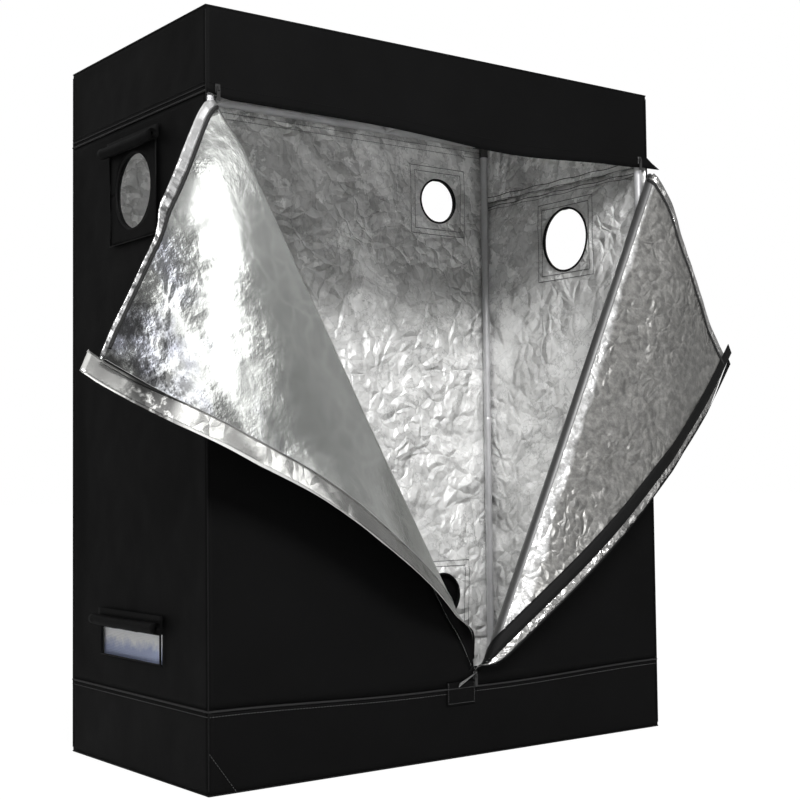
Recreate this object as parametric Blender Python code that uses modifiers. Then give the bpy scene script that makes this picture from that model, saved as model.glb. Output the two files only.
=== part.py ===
"""Indoor grow tent, 1.2 x 0.6 x 1.5 m: a pushed-together tube frame inside a foil-lined cover.

The front is a door split by one upright zip. Its two halves are unzipped and folded outward along
slanting lines, which leaves a V-shaped opening. Metres, +Z up, the front faces -Y, and the origin
is the middle of the floor's underside.
"""

import math

import bmesh
import bpy
from mathutils import Matrix, Vector

# Cover, outside sizes
WIDTH = 1.2
DEPTH = 0.6
HEIGHT = 1.5
CLOTH = 0.002
CROWN_HEIGHT = 0.17
SKIRT_HEIGHT = 0.16
GAP = 0.0003
MERGE = 0.00003
OVERRUN = 0.01

# Frame tubes and their corner sockets
TUBE_RADIUS = 0.0095
TUBE_WALL = 0.001
TUBE_SIDES = 16
PLUG_CLEARANCE = 0.0004
SWAGE_LENGTH = 0.04
SWAGE_TAPER = 0.006
HUB_RADIUS = 0.0125
COLLAR_RADIUS = 0.0115
COLLAR_LENGTH = 0.032
PLUG_LENGTH = 0.035
PLUG_CHAMFER = 0.0015
CORNER_SIDES = 12
FRAME_CLEARANCE = 0.0005

# Hanging bars, clipped over the front and back top rails
BAR_RADIUS = 0.008
BAR_X = 0.25
CLIP_CLEARANCE = 0.0006
CLIP_WALL = 0.0022
CLIP_WIDTH = 0.026
CLIP_MOUTH_DEG = 110.0
CLIP_STEPS = 10

# Floor tray
TRAY_HEIGHT = 0.06
TRAY_CLEARANCE = 0.001

# Door: where it splits, and the slanting fold of each half
DOOR_SPLIT_X = 0.045
DOOR_TOP_BELOW_CROWN = 0.018
FOLD_TOP_INSET = 0.008
FOLD_TOP_BELOW_CROWN = 0.005
FOLD_ABOVE_SKIRT = 0.012
FOLD_RADIUS = 0.016
FOLD_TOP_MARGIN = 0.046
FOLD_BOTTOM_MARGIN = 0.066
LEFT_OPEN_DEG = 163.0
RIGHT_OPEN_DEG = 176.0
LEFT_TWIST_DEG = 32.0
RIGHT_TWIST_DEG = 24.0
TWIST_LENGTH = 0.7
LEFT_DROOP = 0.045
RIGHT_DROOP = 0.085
DROOP_REACH = 0.33
SAG = 0.012
DOOR_SEAM = 0.0025
FLAP_COLUMNS = 10
FLAP_TOP_ROWS = 8
FLAP_LOW_ROWS = 16
ROLL_COLUMNS = 8
ROLL_ROWS = 14

# Round duct ports: centre across the wall, centre height and bore radius
LEFT_PORT_Y = 0.006
RIGHT_PORT_Y = -0.018
SIDE_PORT_BELOW_ROOF = 0.31
SIDE_PORT_RADIUS = 0.0765
SIDE_PATCH = 0.21
BACK_PORT_INSET = 0.17
BACK_PORT_BELOW_ROOF = 0.181
BACK_PORT_RADIUS = 0.054
BACK_PATCH = 0.19
PATCH_SEAM = 0.015
LOW_PORT_ABOVE_SKIRT = 0.12
PORT_SIDES = 32
RIM_WALL = 0.003
RIM_FLANGE = 0.007
RIM_STAND = 0.0015

# Vent window low in the left wall
VENT_Y = 0.0225
VENT_WIDTH = 0.265
VENT_ABOVE_SKIRT = 0.066
VENT_HEIGHT = 0.059
VENT_HEM = 0.008
NET_THICKNESS = 0.001
NET_WIRE = 0.0016
NET_COLUMNS = 20
NET_ROWS = 5

# Rolled-up covers over the ports and the vent
ROLL_OUTER_RADIUS = 0.0125
ROLL_PITCH = 0.0027
ROLL_TURNS = 2.75
ROLL_TAB = 0.022
ROLL_TURN_STEPS = 12
ROLL_OVERHANG = 0.012
ROLL_GAP = 0.003

# Flat cover that hangs closed over the low back port
FLAT_COVER_HEM = 0.02

# Zip sliders with their pulls, and the tab under the door's zip
SLIDER_WIDTH = 0.011
SLIDER_LENGTH = 0.018
SLIDER_THICKNESS = 0.0026
SLIDER_BEVEL = 0.0008
BRIDGE_WIDTH = 0.0034
BRIDGE_LENGTH = 0.007
BRIDGE_DEPTH = 0.0042
PIN_RADIUS = 0.0009
PIN_CLEARANCE = 0.0004
PIN_STAND = 0.0022
PIN_SIDES = 12
PIN_PLAY = 0.0002
PULL_WIDTH = 0.0074
PULL_LENGTH = 0.024
PULL_THICKNESS = 0.0014
PULL_NOTCH = 0.0055
TOP_SLIDER_INSET = 0.025
ZIP_TAB_WIDTH = 0.077
ZIP_TAB_HEIGHT = 0.05

# Derived places
INNER_X = WIDTH / 2 - CLOTH
INNER_Y = DEPTH / 2 - CLOTH
POST_X = INNER_X - FRAME_CLEARANCE - HUB_RADIUS
POST_Y = INNER_Y - FRAME_CLEARANCE - HUB_RADIUS
FRAME_BOTTOM = CLOTH + FRAME_CLEARANCE + HUB_RADIUS
FRAME_TOP = HEIGHT - CLOTH - FRAME_CLEARANCE - HUB_RADIUS
CROWN_BOTTOM = HEIGHT - CROWN_HEIGHT
BORE_RADIUS = TUBE_RADIUS - TUBE_WALL
PLUG_RADIUS = BORE_RADIUS - PLUG_CLEARANCE
FRONT_MID_Y = -(DEPTH - CLOTH) / 2
DOOR_TOP_Z = CROWN_BOTTOM - DOOR_TOP_BELOW_CROWN
FOLD_TOP_X = WIDTH / 2 - FOLD_TOP_INSET
FOLD_TOP_Z = CROWN_BOTTOM - FOLD_TOP_BELOW_CROWN
FOLD_BOTTOM_Z = SKIRT_HEIGHT + FOLD_ABOVE_SKIRT
SIDE_PORT_Z = HEIGHT - SIDE_PORT_BELOW_ROOF
BACK_PORT_X = WIDTH / 2 - BACK_PORT_INSET
BACK_PORT_Z = HEIGHT - BACK_PORT_BELOW_ROOF
LOW_PORT_Z = SKIRT_HEIGHT + LOW_PORT_ABOVE_SKIRT
VENT_BOTTOM = SKIRT_HEIGHT + VENT_ABOVE_SKIRT
VENT_TOP = VENT_BOTTOM + VENT_HEIGHT
TOP_SLIDER_X = WIDTH / 2 - TOP_SLIDER_INSET

OBJECT_NAME = "grow_tent"


def clear_scene():
    for obj in list(bpy.data.objects):
        bpy.data.objects.remove(obj, do_unlink=True)


def new_collection(name):
    collection = bpy.data.collections.new(name)
    bpy.context.scene.collection.children.link(collection)
    return collection


def make_material(name, colour, roughness, metallic):
    material = bpy.data.materials.new(name)
    material.use_nodes = True
    shader = material.node_tree.nodes["Principled BSDF"]
    shader.inputs["Base Color"].default_value = (*colour, 1.0)
    shader.inputs["Roughness"].default_value = roughness
    shader.inputs["Metallic"].default_value = metallic
    return material


clear_scene()
PARTS = new_collection(OBJECT_NAME)
CUTTERS = new_collection("cutters")
CUTTERS.hide_render = True

OXFORD = make_material("black_oxford", (0.012, 0.012, 0.013), 0.75, 0.0)
FOIL = make_material("foil_lining", (0.62, 0.62, 0.62), 0.3, 0.8)
TUBE = make_material("grey_tube", (0.55, 0.56, 0.58), 0.4, 0.6)
SOCKET = make_material("corner_plastic", (0.03, 0.03, 0.03), 0.5, 0.0)
NET = make_material("vent_net", (0.35, 0.37, 0.45), 0.6, 0.2)
TRAY = make_material("tray_sheet", (0.2, 0.2, 0.21), 0.5, 0.0)
ZIP = make_material("black_zip", (0.02, 0.02, 0.02), 0.4, 0.5)


def add_object(name, data, material=None, collection=PARTS):
    """Links a new object and gives it its material."""
    obj = bpy.data.objects.new(name, data)
    collection.objects.link(obj)
    if material is not None:
        data.materials.clear()
        data.materials.append(material)
    if collection is CUTTERS:
        obj.hide_render = True
        obj.display_type = "WIRE"
    return obj


def box_mesh(name, low, high):
    low, high = Vector(low), Vector(high)
    mesh = bpy.data.meshes.new(name)
    shape = bmesh.new()
    bmesh.ops.create_cube(shape, size=1.0)
    bmesh.ops.scale(shape, vec=high - low, verts=shape.verts)
    bmesh.ops.translate(shape, vec=(low + high) / 2, verts=shape.verts)
    shape.to_mesh(mesh)
    shape.free()
    return mesh


def box(name, low, high, material=None, collection=PARTS):
    return add_object(name, box_mesh(name, low, high), material, collection)


def rod(name, radius, start, end, sides, collection=CUTTERS, material=None):
    """A solid round bar from start to end."""
    start, end = Vector(start), Vector(end)
    along = end - start
    turn = Vector((0, 0, 1)).rotation_difference(along).to_matrix().to_4x4()
    mesh = bpy.data.meshes.new(name)
    shape = bmesh.new()
    bmesh.ops.create_cone(
        shape, cap_ends=True, segments=sides, radius1=radius, radius2=radius, depth=along.length
    )
    bmesh.ops.transform(shape, matrix=Matrix.Translation((start + end) / 2) @ turn, verts=shape.verts)
    shape.to_mesh(mesh)
    shape.free()
    return add_object(name, mesh, material, collection)


def boolean(obj, other, operation):
    modifier = obj.modifiers.new(operation.lower(), "BOOLEAN")
    modifier.operation = operation
    modifier.object = other


def settle(obj):
    """Replaces an object's mesh by what its modifiers make of it."""
    graph = bpy.context.evaluated_depsgraph_get()
    made = bpy.data.meshes.new_from_object(obj.evaluated_get(graph))
    obj.modifiers.clear()
    obj.data = made
    return made


def smooth(mesh, degrees=40.0):
    mesh.shade_smooth()
    mesh.set_sharp_from_angle(angle=math.radians(degrees))


def turned(name, profile, sides, material=None, collection=PARTS, closed=True):
    """A profile of (radius, height) points turned about Z. Its outer side runs from top to bottom."""
    mesh = bpy.data.meshes.new(name)
    points = [(radius, 0.0, height) for radius, height in profile]
    edges = [(n, n + 1) for n in range(len(points) - 1)]
    if closed:
        edges.append((len(points) - 1, 0))
    mesh.from_pydata(points, edges, [])
    obj = add_object(name, mesh, material, collection)
    screw = obj.modifiers.new("turn", "SCREW")
    screw.steps = sides
    screw.render_steps = sides
    screw.use_merge_vertices = True
    screw.merge_threshold = MERGE
    settle(obj)
    smooth(obj.data)
    return obj


def sheet(name, rows, thickness, material=None, side=0.0, collection=PARTS):
    """Cloth through a grid of points, made solid by its thickness."""
    columns = len(rows[0])
    points = [point for row in rows for point in row]
    faces = [
        (r * columns + c, r * columns + c + 1, (r + 1) * columns + c + 1, (r + 1) * columns + c)
        for r in range(len(rows) - 1)
        for c in range(columns - 1)
    ]
    mesh = bpy.data.meshes.new(name)
    mesh.from_pydata(points, [], faces)
    obj = add_object(name, mesh, material, collection)
    solid = obj.modifiers.new("thickness", "SOLIDIFY")
    solid.thickness = thickness
    solid.offset = side
    smooth(mesh)
    return obj


# Frame


def straight_tube(length):
    """Profile of a plain tube that starts at height zero."""
    return [(TUBE_RADIUS, length), (TUBE_RADIUS, 0.0), (BORE_RADIUS, 0.0), (BORE_RADIUS, length)]


def swaged_tube(length):
    """Profile of a tube whose top end is drawn in, to push into the next tube's bore."""
    neck_bore = PLUG_RADIUS - TUBE_WALL
    return [
        (PLUG_RADIUS, length + SWAGE_LENGTH),
        (PLUG_RADIUS, length),
        (TUBE_RADIUS, length - SWAGE_TAPER),
        (TUBE_RADIUS, 0.0),
        (BORE_RADIUS, 0.0),
        (BORE_RADIUS, length - SWAGE_TAPER),
        (neck_bore, length),
        (neck_bore, length + SWAGE_LENGTH),
    ]


def tube(name, profile, start, direction):
    obj = turned(name, profile, TUBE_SIDES, TUBE)
    obj.location = start
    obj.rotation_euler = Vector((0, 0, 1)).rotation_difference(Vector(direction)).to_euler()
    return obj


def halved_run(names, start, direction, span):
    """Two tubes pushed together, which fill the span between two corner collars."""
    start, direction = Vector(start), Vector(direction)
    first = start + direction * (COLLAR_LENGTH + GAP)
    half = (span - 2 * (COLLAR_LENGTH + GAP) - GAP) / 2
    tube(names[0], swaged_tube(half), first, direction)
    tube(names[1], straight_tube(half), first + direction * (half + GAP), direction)


def frame_tubes():
    post_span = FRAME_TOP - FRAME_BOTTOM
    for side, x in (("left", -POST_X), ("right", POST_X)):
        for face, y in (("front", -POST_Y), ("back", POST_Y)):
            names = (f"post_{face}_{side}_lower", f"post_{face}_{side}_upper")
            halved_run(names, (x, y, FRAME_BOTTOM), (0, 0, 1), post_span)
        for level, z in (("bottom", FRAME_BOTTOM), ("top", FRAME_TOP)):
            length = 2 * (POST_Y - COLLAR_LENGTH - GAP)
            start = (x, -length / 2, z)
            tube(f"rail_{side}_{level}", straight_tube(length), start, (0, 1, 0))
    for face, y in (("front", -POST_Y), ("back", POST_Y)):
        for level, z in (("bottom", FRAME_BOTTOM), ("top", FRAME_TOP)):
            names = (f"rail_{face}_{level}_left", f"rail_{face}_{level}_right")
            halved_run(names, (-POST_X, y, z), (1, 0, 0), 2 * POST_X)


def corner_mesh():
    """A hub with three arms at right angles: each has a collar, and a plug that fills the tube's bore."""
    end = COLLAR_LENGTH + PLUG_LENGTH
    arm = [
        (0.0, end),
        (PLUG_RADIUS - PLUG_CHAMFER, end),
        (PLUG_RADIUS, end - PLUG_CHAMFER),
        (PLUG_RADIUS, COLLAR_LENGTH),
        (COLLAR_RADIUS, COLLAR_LENGTH),
        (COLLAR_RADIUS, 0.0),
        (0.0, 0.0),
    ]
    hub_mesh = bpy.data.meshes.new("corner_hub")
    shape = bmesh.new()
    bmesh.ops.create_uvsphere(shape, u_segments=CORNER_SIDES, v_segments=CORNER_SIDES // 2, radius=HUB_RADIUS)
    shape.to_mesh(hub_mesh)
    shape.free()
    hub = add_object("corner_hub", hub_mesh, None, CUTTERS)
    for name, direction in (("x", (1, 0, 0)), ("y", (0, 1, 0)), ("z", (0, 0, 1))):
        piece = turned(f"corner_arm_{name}", arm, CORNER_SIDES, None, CUTTERS, closed=False)
        piece.rotation_euler = Vector((0, 0, 1)).rotation_difference(Vector(direction)).to_euler()
        boolean(hub, piece, "UNION")
    bpy.context.view_layer.update()
    mesh = settle(hub)
    mesh.name = "corner_socket"
    mesh.materials.clear()
    mesh.materials.append(SOCKET)
    smooth(mesh)
    return mesh


def corners():
    """Eight of one socket: its arms point along +X, +Y and +Z, and a proper turn aims them inward."""
    mesh = corner_mesh()
    quarter = math.pi / 2
    turns = {
        ("left", "front"): 0.0,
        ("right", "front"): quarter,
        ("right", "back"): 2 * quarter,
        ("left", "back"): 3 * quarter,
    }
    for (side, face), turn in turns.items():
        x = POST_X if side == "right" else -POST_X
        y = POST_Y if face == "back" else -POST_Y
        low = add_object(f"corner_{face}_{side}_bottom", mesh)
        low.location = (x, y, FRAME_BOTTOM)
        low.rotation_euler = (0.0, 0.0, turn)
        high = add_object(f"corner_{face}_{side}_top", mesh)
        high.location = (x, y, FRAME_TOP)
        flip = Matrix.Rotation(math.pi, 4, (1, 0, 0))
        high.rotation_euler = (Matrix.Rotation(turn + quarter, 4, "Z") @ flip).to_euler()


def clip_section():
    """Points of an open ring round a rail, in the plane across the rail, with its mouth at the bottom."""
    mid_radius = TUBE_RADIUS + CLIP_CLEARANCE + CLIP_WALL / 2
    half_mouth = math.radians(CLIP_MOUTH_DEG) / 2
    start = -math.pi / 2 + half_mouth
    sweep = 2 * (math.pi - half_mouth)
    angles = [start + sweep * n / CLIP_STEPS for n in range(CLIP_STEPS + 1)]
    return [(mid_radius * math.cos(angle), mid_radius * math.sin(angle)) for angle in angles]


def hanging_bar(name, x):
    """A bar from front to back, with a snap clip over each top rail, in which it slides sideways."""
    reach = POST_Y - TUBE_RADIUS - CLIP_CLEARANCE - CLIP_WALL / 2
    bar = rod(name, BAR_RADIUS, (0, -reach, 0), (0, reach, 0), TUBE_SIDES, PARTS, TUBE)
    for end, side in (("front", -1), ("back", 1)):
        rows = [
            [(along, side * POST_Y + a, b) for a, b in clip_section()]
            for along in (-CLIP_WIDTH / 2, CLIP_WIDTH / 2)
        ]
        clip = sheet(f"{name}_{end}_clip", rows, CLIP_WALL, None, 0.0, CUTTERS)
        boolean(bar, clip, "UNION")
    bpy.context.view_layer.update()
    settle(bar)
    bar.data.materials.clear()
    bar.data.materials.append(TUBE)
    bar.location = (x, 0.0, FRAME_TOP)
    return bar


# Cover


def band(name, low_z, high_z, round_back):
    """A band of cloth round the tent's front and sides, and round its back too if asked."""
    mesh = box_mesh(name, (-WIDTH / 2, -DEPTH / 2, low_z), (WIDTH / 2, DEPTH / 2, high_z))
    shape = bmesh.new()
    shape.from_mesh(mesh)
    left_out = [face for face in shape.faces if abs(face.normal.x) + abs(face.normal.y) < abs(face.normal.z)]
    if not round_back:
        left_out += [face for face in shape.faces if face.normal.y > abs(face.normal.x) + abs(face.normal.z)]
    bmesh.ops.delete(shape, geom=left_out, context="FACES")
    shape.to_mesh(mesh)
    shape.free()
    obj = add_object(name, mesh, OXFORD)
    solid = obj.modifiers.new("thickness", "SOLIDIFY")
    solid.thickness = CLOTH
    solid.offset = -1.0
    solid.use_even_offset = True
    return obj


def port_hole(wall, name, centre, patch):
    """Cuts the square hole in a wall that a port's patch is sewn over."""
    half = patch / 2 - PATCH_SEAM
    reach = Vector((half, half, half))
    boolean(wall, box(name, centre - reach, centre + reach, None, CUTTERS), "DIFFERENCE")


def walls():
    low, high = SKIRT_HEIGHT, CROWN_BOTTOM
    left = box("wall_left", (-WIDTH / 2, -DEPTH / 2, low), (-INNER_X, DEPTH / 2, high), OXFORD)
    right = box("wall_right", (INNER_X, -DEPTH / 2, low), (WIDTH / 2, DEPTH / 2, high), OXFORD)
    edge = INNER_X - GAP
    full = HEIGHT - CLOTH - GAP
    back = box("wall_back", (-edge, INNER_Y, low), (edge, DEPTH / 2, full), OXFORD)
    for wall, name, sign, y in (
        (left, "left_port_cut", -1, LEFT_PORT_Y),
        (right, "right_port_cut", 1, RIGHT_PORT_Y),
    ):
        port_hole(wall, name, Vector((sign * WIDTH / 2, y, SIDE_PORT_Z)), SIDE_PATCH)
    for name, z in (("back_port_cut", BACK_PORT_Z), ("low_port_cut", LOW_PORT_Z)):
        port_hole(back, name, Vector((BACK_PORT_X, DEPTH / 2, z)), BACK_PATCH)
    window = box(
        "vent_cut",
        (-WIDTH / 2 - OVERRUN, VENT_Y - VENT_WIDTH / 2, VENT_BOTTOM),
        (-INNER_X + OVERRUN, VENT_Y + VENT_WIDTH / 2, VENT_TOP),
        None,
        CUTTERS,
    )
    boolean(left, window, "DIFFERENCE")


def skirt():
    """The bottom band, with the tab that closes the zip's lower end sewn on its front."""
    ring = band("skirt_band", CLOTH + GAP, SKIRT_HEIGHT - GAP, True)
    settle(ring)
    right_edge = DOOR_SPLIT_X + GAP
    tab = box(
        "zip_tab",
        (right_edge - ZIP_TAB_WIDTH, -DEPTH / 2 - CLOTH, SKIRT_HEIGHT - GAP - ZIP_TAB_HEIGHT),
        (right_edge, -INNER_Y - CLOTH / 2, SKIRT_HEIGHT - 2 * GAP),
        None,
        CUTTERS,
    )
    boolean(ring, tab, "UNION")


def cover():
    band("crown_band", CROWN_BOTTOM + GAP, HEIGHT - CLOTH - GAP, False)
    box("roof_panel", (-WIDTH / 2, -DEPTH / 2, HEIGHT - CLOTH), (WIDTH / 2, DEPTH / 2, HEIGHT), OXFORD)
    box("floor_panel", (-WIDTH / 2, -DEPTH / 2, 0.0), (WIDTH / 2, DEPTH / 2, CLOTH), OXFORD)
    skirt()
    walls()


def floor_tray():
    """An open, shallow tray that lifts out through the door."""
    half_x = POST_X - HUB_RADIUS - TRAY_CLEARANCE
    half_y = POST_Y - HUB_RADIUS - TRAY_CLEARANCE
    base = CLOTH + GAP
    mesh = box_mesh("floor_tray", (-half_x, -half_y, base), (half_x, half_y, base + TRAY_HEIGHT))
    shape = bmesh.new()
    shape.from_mesh(mesh)
    top = [face for face in shape.faces if face.normal.z > abs(face.normal.x) + abs(face.normal.y)]
    bmesh.ops.delete(shape, geom=top, context="FACES")
    shape.to_mesh(mesh)
    shape.free()
    obj = add_object("floor_tray", mesh, TRAY)
    solid = obj.modifiers.new("thickness", "SOLIDIFY")
    solid.thickness = CLOTH
    solid.offset = -1.0
    solid.use_even_offset = True
    return obj


# Door halves


class DoorHalf:
    """One half of the door: its fold line, and where its cloth lies when it is folded open."""

    def __init__(self, name, sign, open_deg, twist_deg, droop):
        self.name = name
        self.sign = sign
        self.open_angle = math.radians(open_deg)
        self.twist = math.radians(twist_deg)
        self.droop = droop
        self.top = Vector((sign * FOLD_TOP_X, FRONT_MID_Y, FOLD_TOP_Z))
        self.bottom = Vector((DOOR_SPLIT_X, FRONT_MID_Y, FOLD_BOTTOM_Z))
        self.length = (self.bottom - self.top).length
        self.along = (self.bottom - self.top) / self.length
        outward = Vector((0.0, -1.0, 0.0))
        self.across = outward.cross(self.along) * -sign
        self.outward = outward
        corner = Vector((DOOR_SPLIT_X + sign * DOOR_SEAM / 2, FRONT_MID_Y, DOOR_TOP_Z)) - self.top
        self.corner_along = corner.dot(self.along)
        self.corner_across = corner.dot(self.across)

    def angle(self, distance):
        """How far the cloth is turned at a distance along the fold: less near the closed zip."""
        share = (distance - (self.length - TWIST_LENGTH)) / TWIST_LENGTH
        share = min(max(share, 0.0), 1.0)
        eased = share * share * (3 - 2 * share)
        return self.open_angle - self.twist * eased

    def half_wrap(self, distance):
        """Half of the cloth that lies round the fold."""
        return FOLD_RADIUS * self.angle(distance) / 2

    def pivot_out(self):
        """How far out the hinge lies, so that the flap turned back lands flat in the front."""
        half = self.open_angle / 2
        return FOLD_RADIUS - FOLD_RADIUS * half / math.tan(half)

    def far_edge(self, distance):
        """Width of the flap, from the fold line to its top edge or to the zip."""
        if distance < self.corner_along:
            share = (distance - self.edge_start()) / (self.corner_along - self.edge_start())
        else:
            share = (self.length - distance) / (self.length - self.corner_along)
        return self.corner_across * share

    def edge_start(self):
        """Where the door's top edge would meet the fold line."""
        return (self.top.z - DOOR_TOP_Z) / -self.along.z

    def point(self, distance, width):
        """Place of the cloth at a distance down the fold and a width across it, folded open."""
        angle = self.angle(distance)
        wrap = FOLD_RADIUS * angle
        travel = width + wrap / 2
        if travel < wrap:
            turn = travel / FOLD_RADIUS
            across = FOLD_RADIUS * math.sin(turn)
            out = FOLD_RADIUS * (1 - math.cos(turn))
        else:
            rest = travel - wrap
            across = FOLD_RADIUS * math.sin(angle) + rest * math.cos(angle)
            out = FOLD_RADIUS * (1 - math.cos(angle)) + rest * math.sin(angle)
            slack = SAG * min(distance / self.corner_along, 1.0)
            out += slack * math.sin(math.pi * min(rest / DROOP_REACH, 1.0))
        place = self.top + self.along * distance
        place = place + self.across * (across - wrap / 2) + self.outward * out
        beyond = max(abs(place.x) - WIDTH / 2, 0.0)
        place.y += self.droop * (beyond / DROOP_REACH) ** 2
        return place

    def flap_rows(self):
        """Grid of the flap, from just past its fold to its free edges."""
        first, last = FOLD_TOP_MARGIN, self.length - FOLD_BOTTOM_MARGIN
        top_step = (self.corner_along - first) / FLAP_TOP_ROWS
        low_step = (last - self.corner_along) / FLAP_LOW_ROWS
        distances = [first + top_step * n for n in range(FLAP_TOP_ROWS)]
        distances += [self.corner_along + low_step * n for n in range(FLAP_LOW_ROWS + 1)]
        rows = []
        for distance in distances:
            near = self.half_wrap(distance) + GAP
            far = self.far_edge(distance)
            step = (far - near) / FLAP_COLUMNS
            rows.append([self.point(distance, near + step * n) for n in range(FLAP_COLUMNS + 1)])
        return rows

    def roll_rows(self):
        """Grid of the cloth that turns round the fold."""
        first, last = FOLD_TOP_MARGIN, self.length - FOLD_BOTTOM_MARGIN
        rows = []
        for n in range(ROLL_ROWS + 1):
            distance = first + (last - first) * n / ROLL_ROWS
            start = -self.half_wrap(distance) + GAP
            step = -2 * start / ROLL_COLUMNS
            rows.append([self.point(distance, start + step * c) for c in range(ROLL_COLUMNS + 1)])
        return rows

    def panel_outline(self):
        """Outline, in X and Z, of the front cloth that stays up beside and below the fold."""
        side_x = self.sign * (INNER_X - GAP)
        low = SKIRT_HEIGHT + GAP
        slanted = []
        for n in range(ROLL_ROWS + 1):
            distance = self.length * n / ROLL_ROWS
            edge = self.top + self.along * distance - self.across * (self.half_wrap(distance) + GAP)
            slanted.append((edge.x, edge.z))
        inside = [(x, z) for x, z in slanted if abs(x) < abs(side_x) and z > low]
        first_x, first_z = inside[0]
        next_x, next_z = inside[1]
        slope = (next_z - first_z) / (next_x - first_x)
        top = (side_x, first_z + (side_x - first_x) * slope)
        last_x, last_z = inside[-1]
        foot = (last_x + (low - last_z) / slope, low)
        return [(side_x, low), top, *inside, foot]

    def build(self):
        flap = sheet(f"door_flap_{self.name}", self.flap_rows(), CLOTH, FOIL)
        pivot = self.top + self.outward * self.pivot_out()
        flap.data.transform(Matrix.Translation(-pivot))
        flap.location = pivot
        sheet(f"door_fold_{self.name}", self.roll_rows(), CLOTH, FOIL)
        flat_panel(f"front_panel_{self.name}", self.panel_outline(), OXFORD)


def flat_panel(name, outline, material):
    """Cloth of the front, cut to an outline in X and Z."""
    curve = bpy.data.curves.new(name, "CURVE")
    curve.dimensions = "2D"
    curve.fill_mode = "BOTH"
    curve.extrude = CLOTH / 2
    spline = curve.splines.new("POLY")
    spline.points.add(len(outline) - 1)
    for point, (x, z) in zip(spline.points, outline):
        point.co = (x, z, 0.0, 1.0)
    spline.use_cyclic_u = True
    obj = add_object(name, curve, material)
    obj.rotation_euler = (math.pi / 2, 0.0, 0.0)
    obj.location = (0.0, FRONT_MID_Y, 0.0)
    return obj


# Ports, vent and their covers


def port_frame(name, radius, patch):
    """A sewn patch with a bound round hole, about the origin with +Z pointing out of the tent."""
    face = CLOTH / 2 + GAP
    half = patch / 2 - PATCH_SEAM - GAP
    inner = -CLOTH / 2 - RIM_STAND
    outer = face + CLOTH + RIM_STAND
    overlap = face + CLOTH / 2
    obj = box(name, (-patch / 2, -patch / 2, face), (patch / 2, patch / 2, face + CLOTH), OXFORD)
    lining = box(f"{name}_lining", (-half, -half, -CLOTH / 2), (half, half, overlap), None, CUTTERS)
    barrel = rod(f"{name}_barrel", radius + RIM_WALL, (0, 0, face), (0, 0, outer), PORT_SIDES)
    flange = rod(f"{name}_flange", radius + RIM_FLANGE, (0, 0, inner), (0, 0, face), PORT_SIDES)
    bore = rod(f"{name}_bore", radius, (0, 0, inner - OVERRUN), (0, 0, outer + OVERRUN), PORT_SIDES)
    boolean(obj, lining, "UNION")
    boolean(obj, barrel, "UNION")
    boolean(obj, flange, "UNION")
    boolean(obj, bore, "DIFFERENCE")
    bpy.context.view_layer.update()
    settle(obj)
    obj.data.materials.clear()
    obj.data.materials.append(OXFORD)
    return obj


def rolled_cover(name, width, stand):
    """A cover rolled up outward, about its seam: X runs along the roll, +Y out of the tent, +Z up."""
    lead = stand + GAP + CLOTH / 2
    points = [(lead, ROLL_TAB), (lead, ROLL_TAB / 2)]
    steps = round(ROLL_TURNS * ROLL_TURN_STEPS)
    for n in range(steps + 1):
        turn = 2 * math.pi * n / ROLL_TURN_STEPS
        radius = ROLL_OUTER_RADIUS - ROLL_PITCH * n / ROLL_TURN_STEPS
        out = lead + ROLL_OUTER_RADIUS - radius * math.cos(turn)
        points.append((out, -radius * math.sin(turn)))
    rows = [[(x, out, up) for out, up in points] for x in (-width / 2, width / 2)]
    return sheet(name, rows, CLOTH, OXFORD)


def ports():
    quarter = math.pi / 2
    wall_x = (WIDTH - CLOTH) / 2
    wall_y = (DEPTH - CLOTH) / 2
    patch_face = GAP + CLOTH
    for side, sign, y in (("left", -1, LEFT_PORT_Y), ("right", 1, RIGHT_PORT_Y)):
        frame = port_frame(f"port_frame_{side}", SIDE_PORT_RADIUS, SIDE_PATCH)
        frame.location = (sign * wall_x, y, SIDE_PORT_Z)
        frame.rotation_euler = (0.0, sign * quarter, 0.0)
        roll = rolled_cover(f"port_cover_{side}", SIDE_PATCH + 2 * ROLL_OVERHANG, patch_face)
        seam_z = SIDE_PORT_Z + SIDE_PORT_RADIUS + RIM_WALL + ROLL_GAP + ROLL_OUTER_RADIUS
        roll.location = (sign * (WIDTH / 2), y, seam_z)
        roll.rotation_euler = (0.0, 0.0, -sign * quarter)
    for level, z in (("upper", BACK_PORT_Z), ("lower", LOW_PORT_Z)):
        frame = port_frame(f"port_frame_back_{level}", BACK_PORT_RADIUS, BACK_PATCH)
        frame.location = (BACK_PORT_X, wall_y, z)
        frame.rotation_euler = (-quarter, 0.0, 0.0)
    roll = rolled_cover("port_cover_back_upper", BACK_PATCH + 2 * ROLL_OVERHANG, patch_face)
    seam_z = BACK_PORT_Z + BACK_PORT_RADIUS + RIM_WALL + ROLL_GAP + ROLL_OUTER_RADIUS
    roll.location = (BACK_PORT_X, DEPTH / 2, seam_z)
    flat = port_flat_cover()
    stand = CLOTH / 2 + patch_face + RIM_STAND + GAP
    flat.location = (BACK_PORT_X, wall_y + stand, LOW_PORT_Z + BACK_PATCH / 2)


def port_flat_cover():
    """The low port's cover, let down: a square of cloth that hangs from its top edge."""
    half = BACK_PATCH / 2
    hem = FLAT_COVER_HEM
    return box("port_cover_back_lower", (-half, 0.0, -BACK_PATCH + hem), (half, CLOTH, 0.0), OXFORD)


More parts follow.
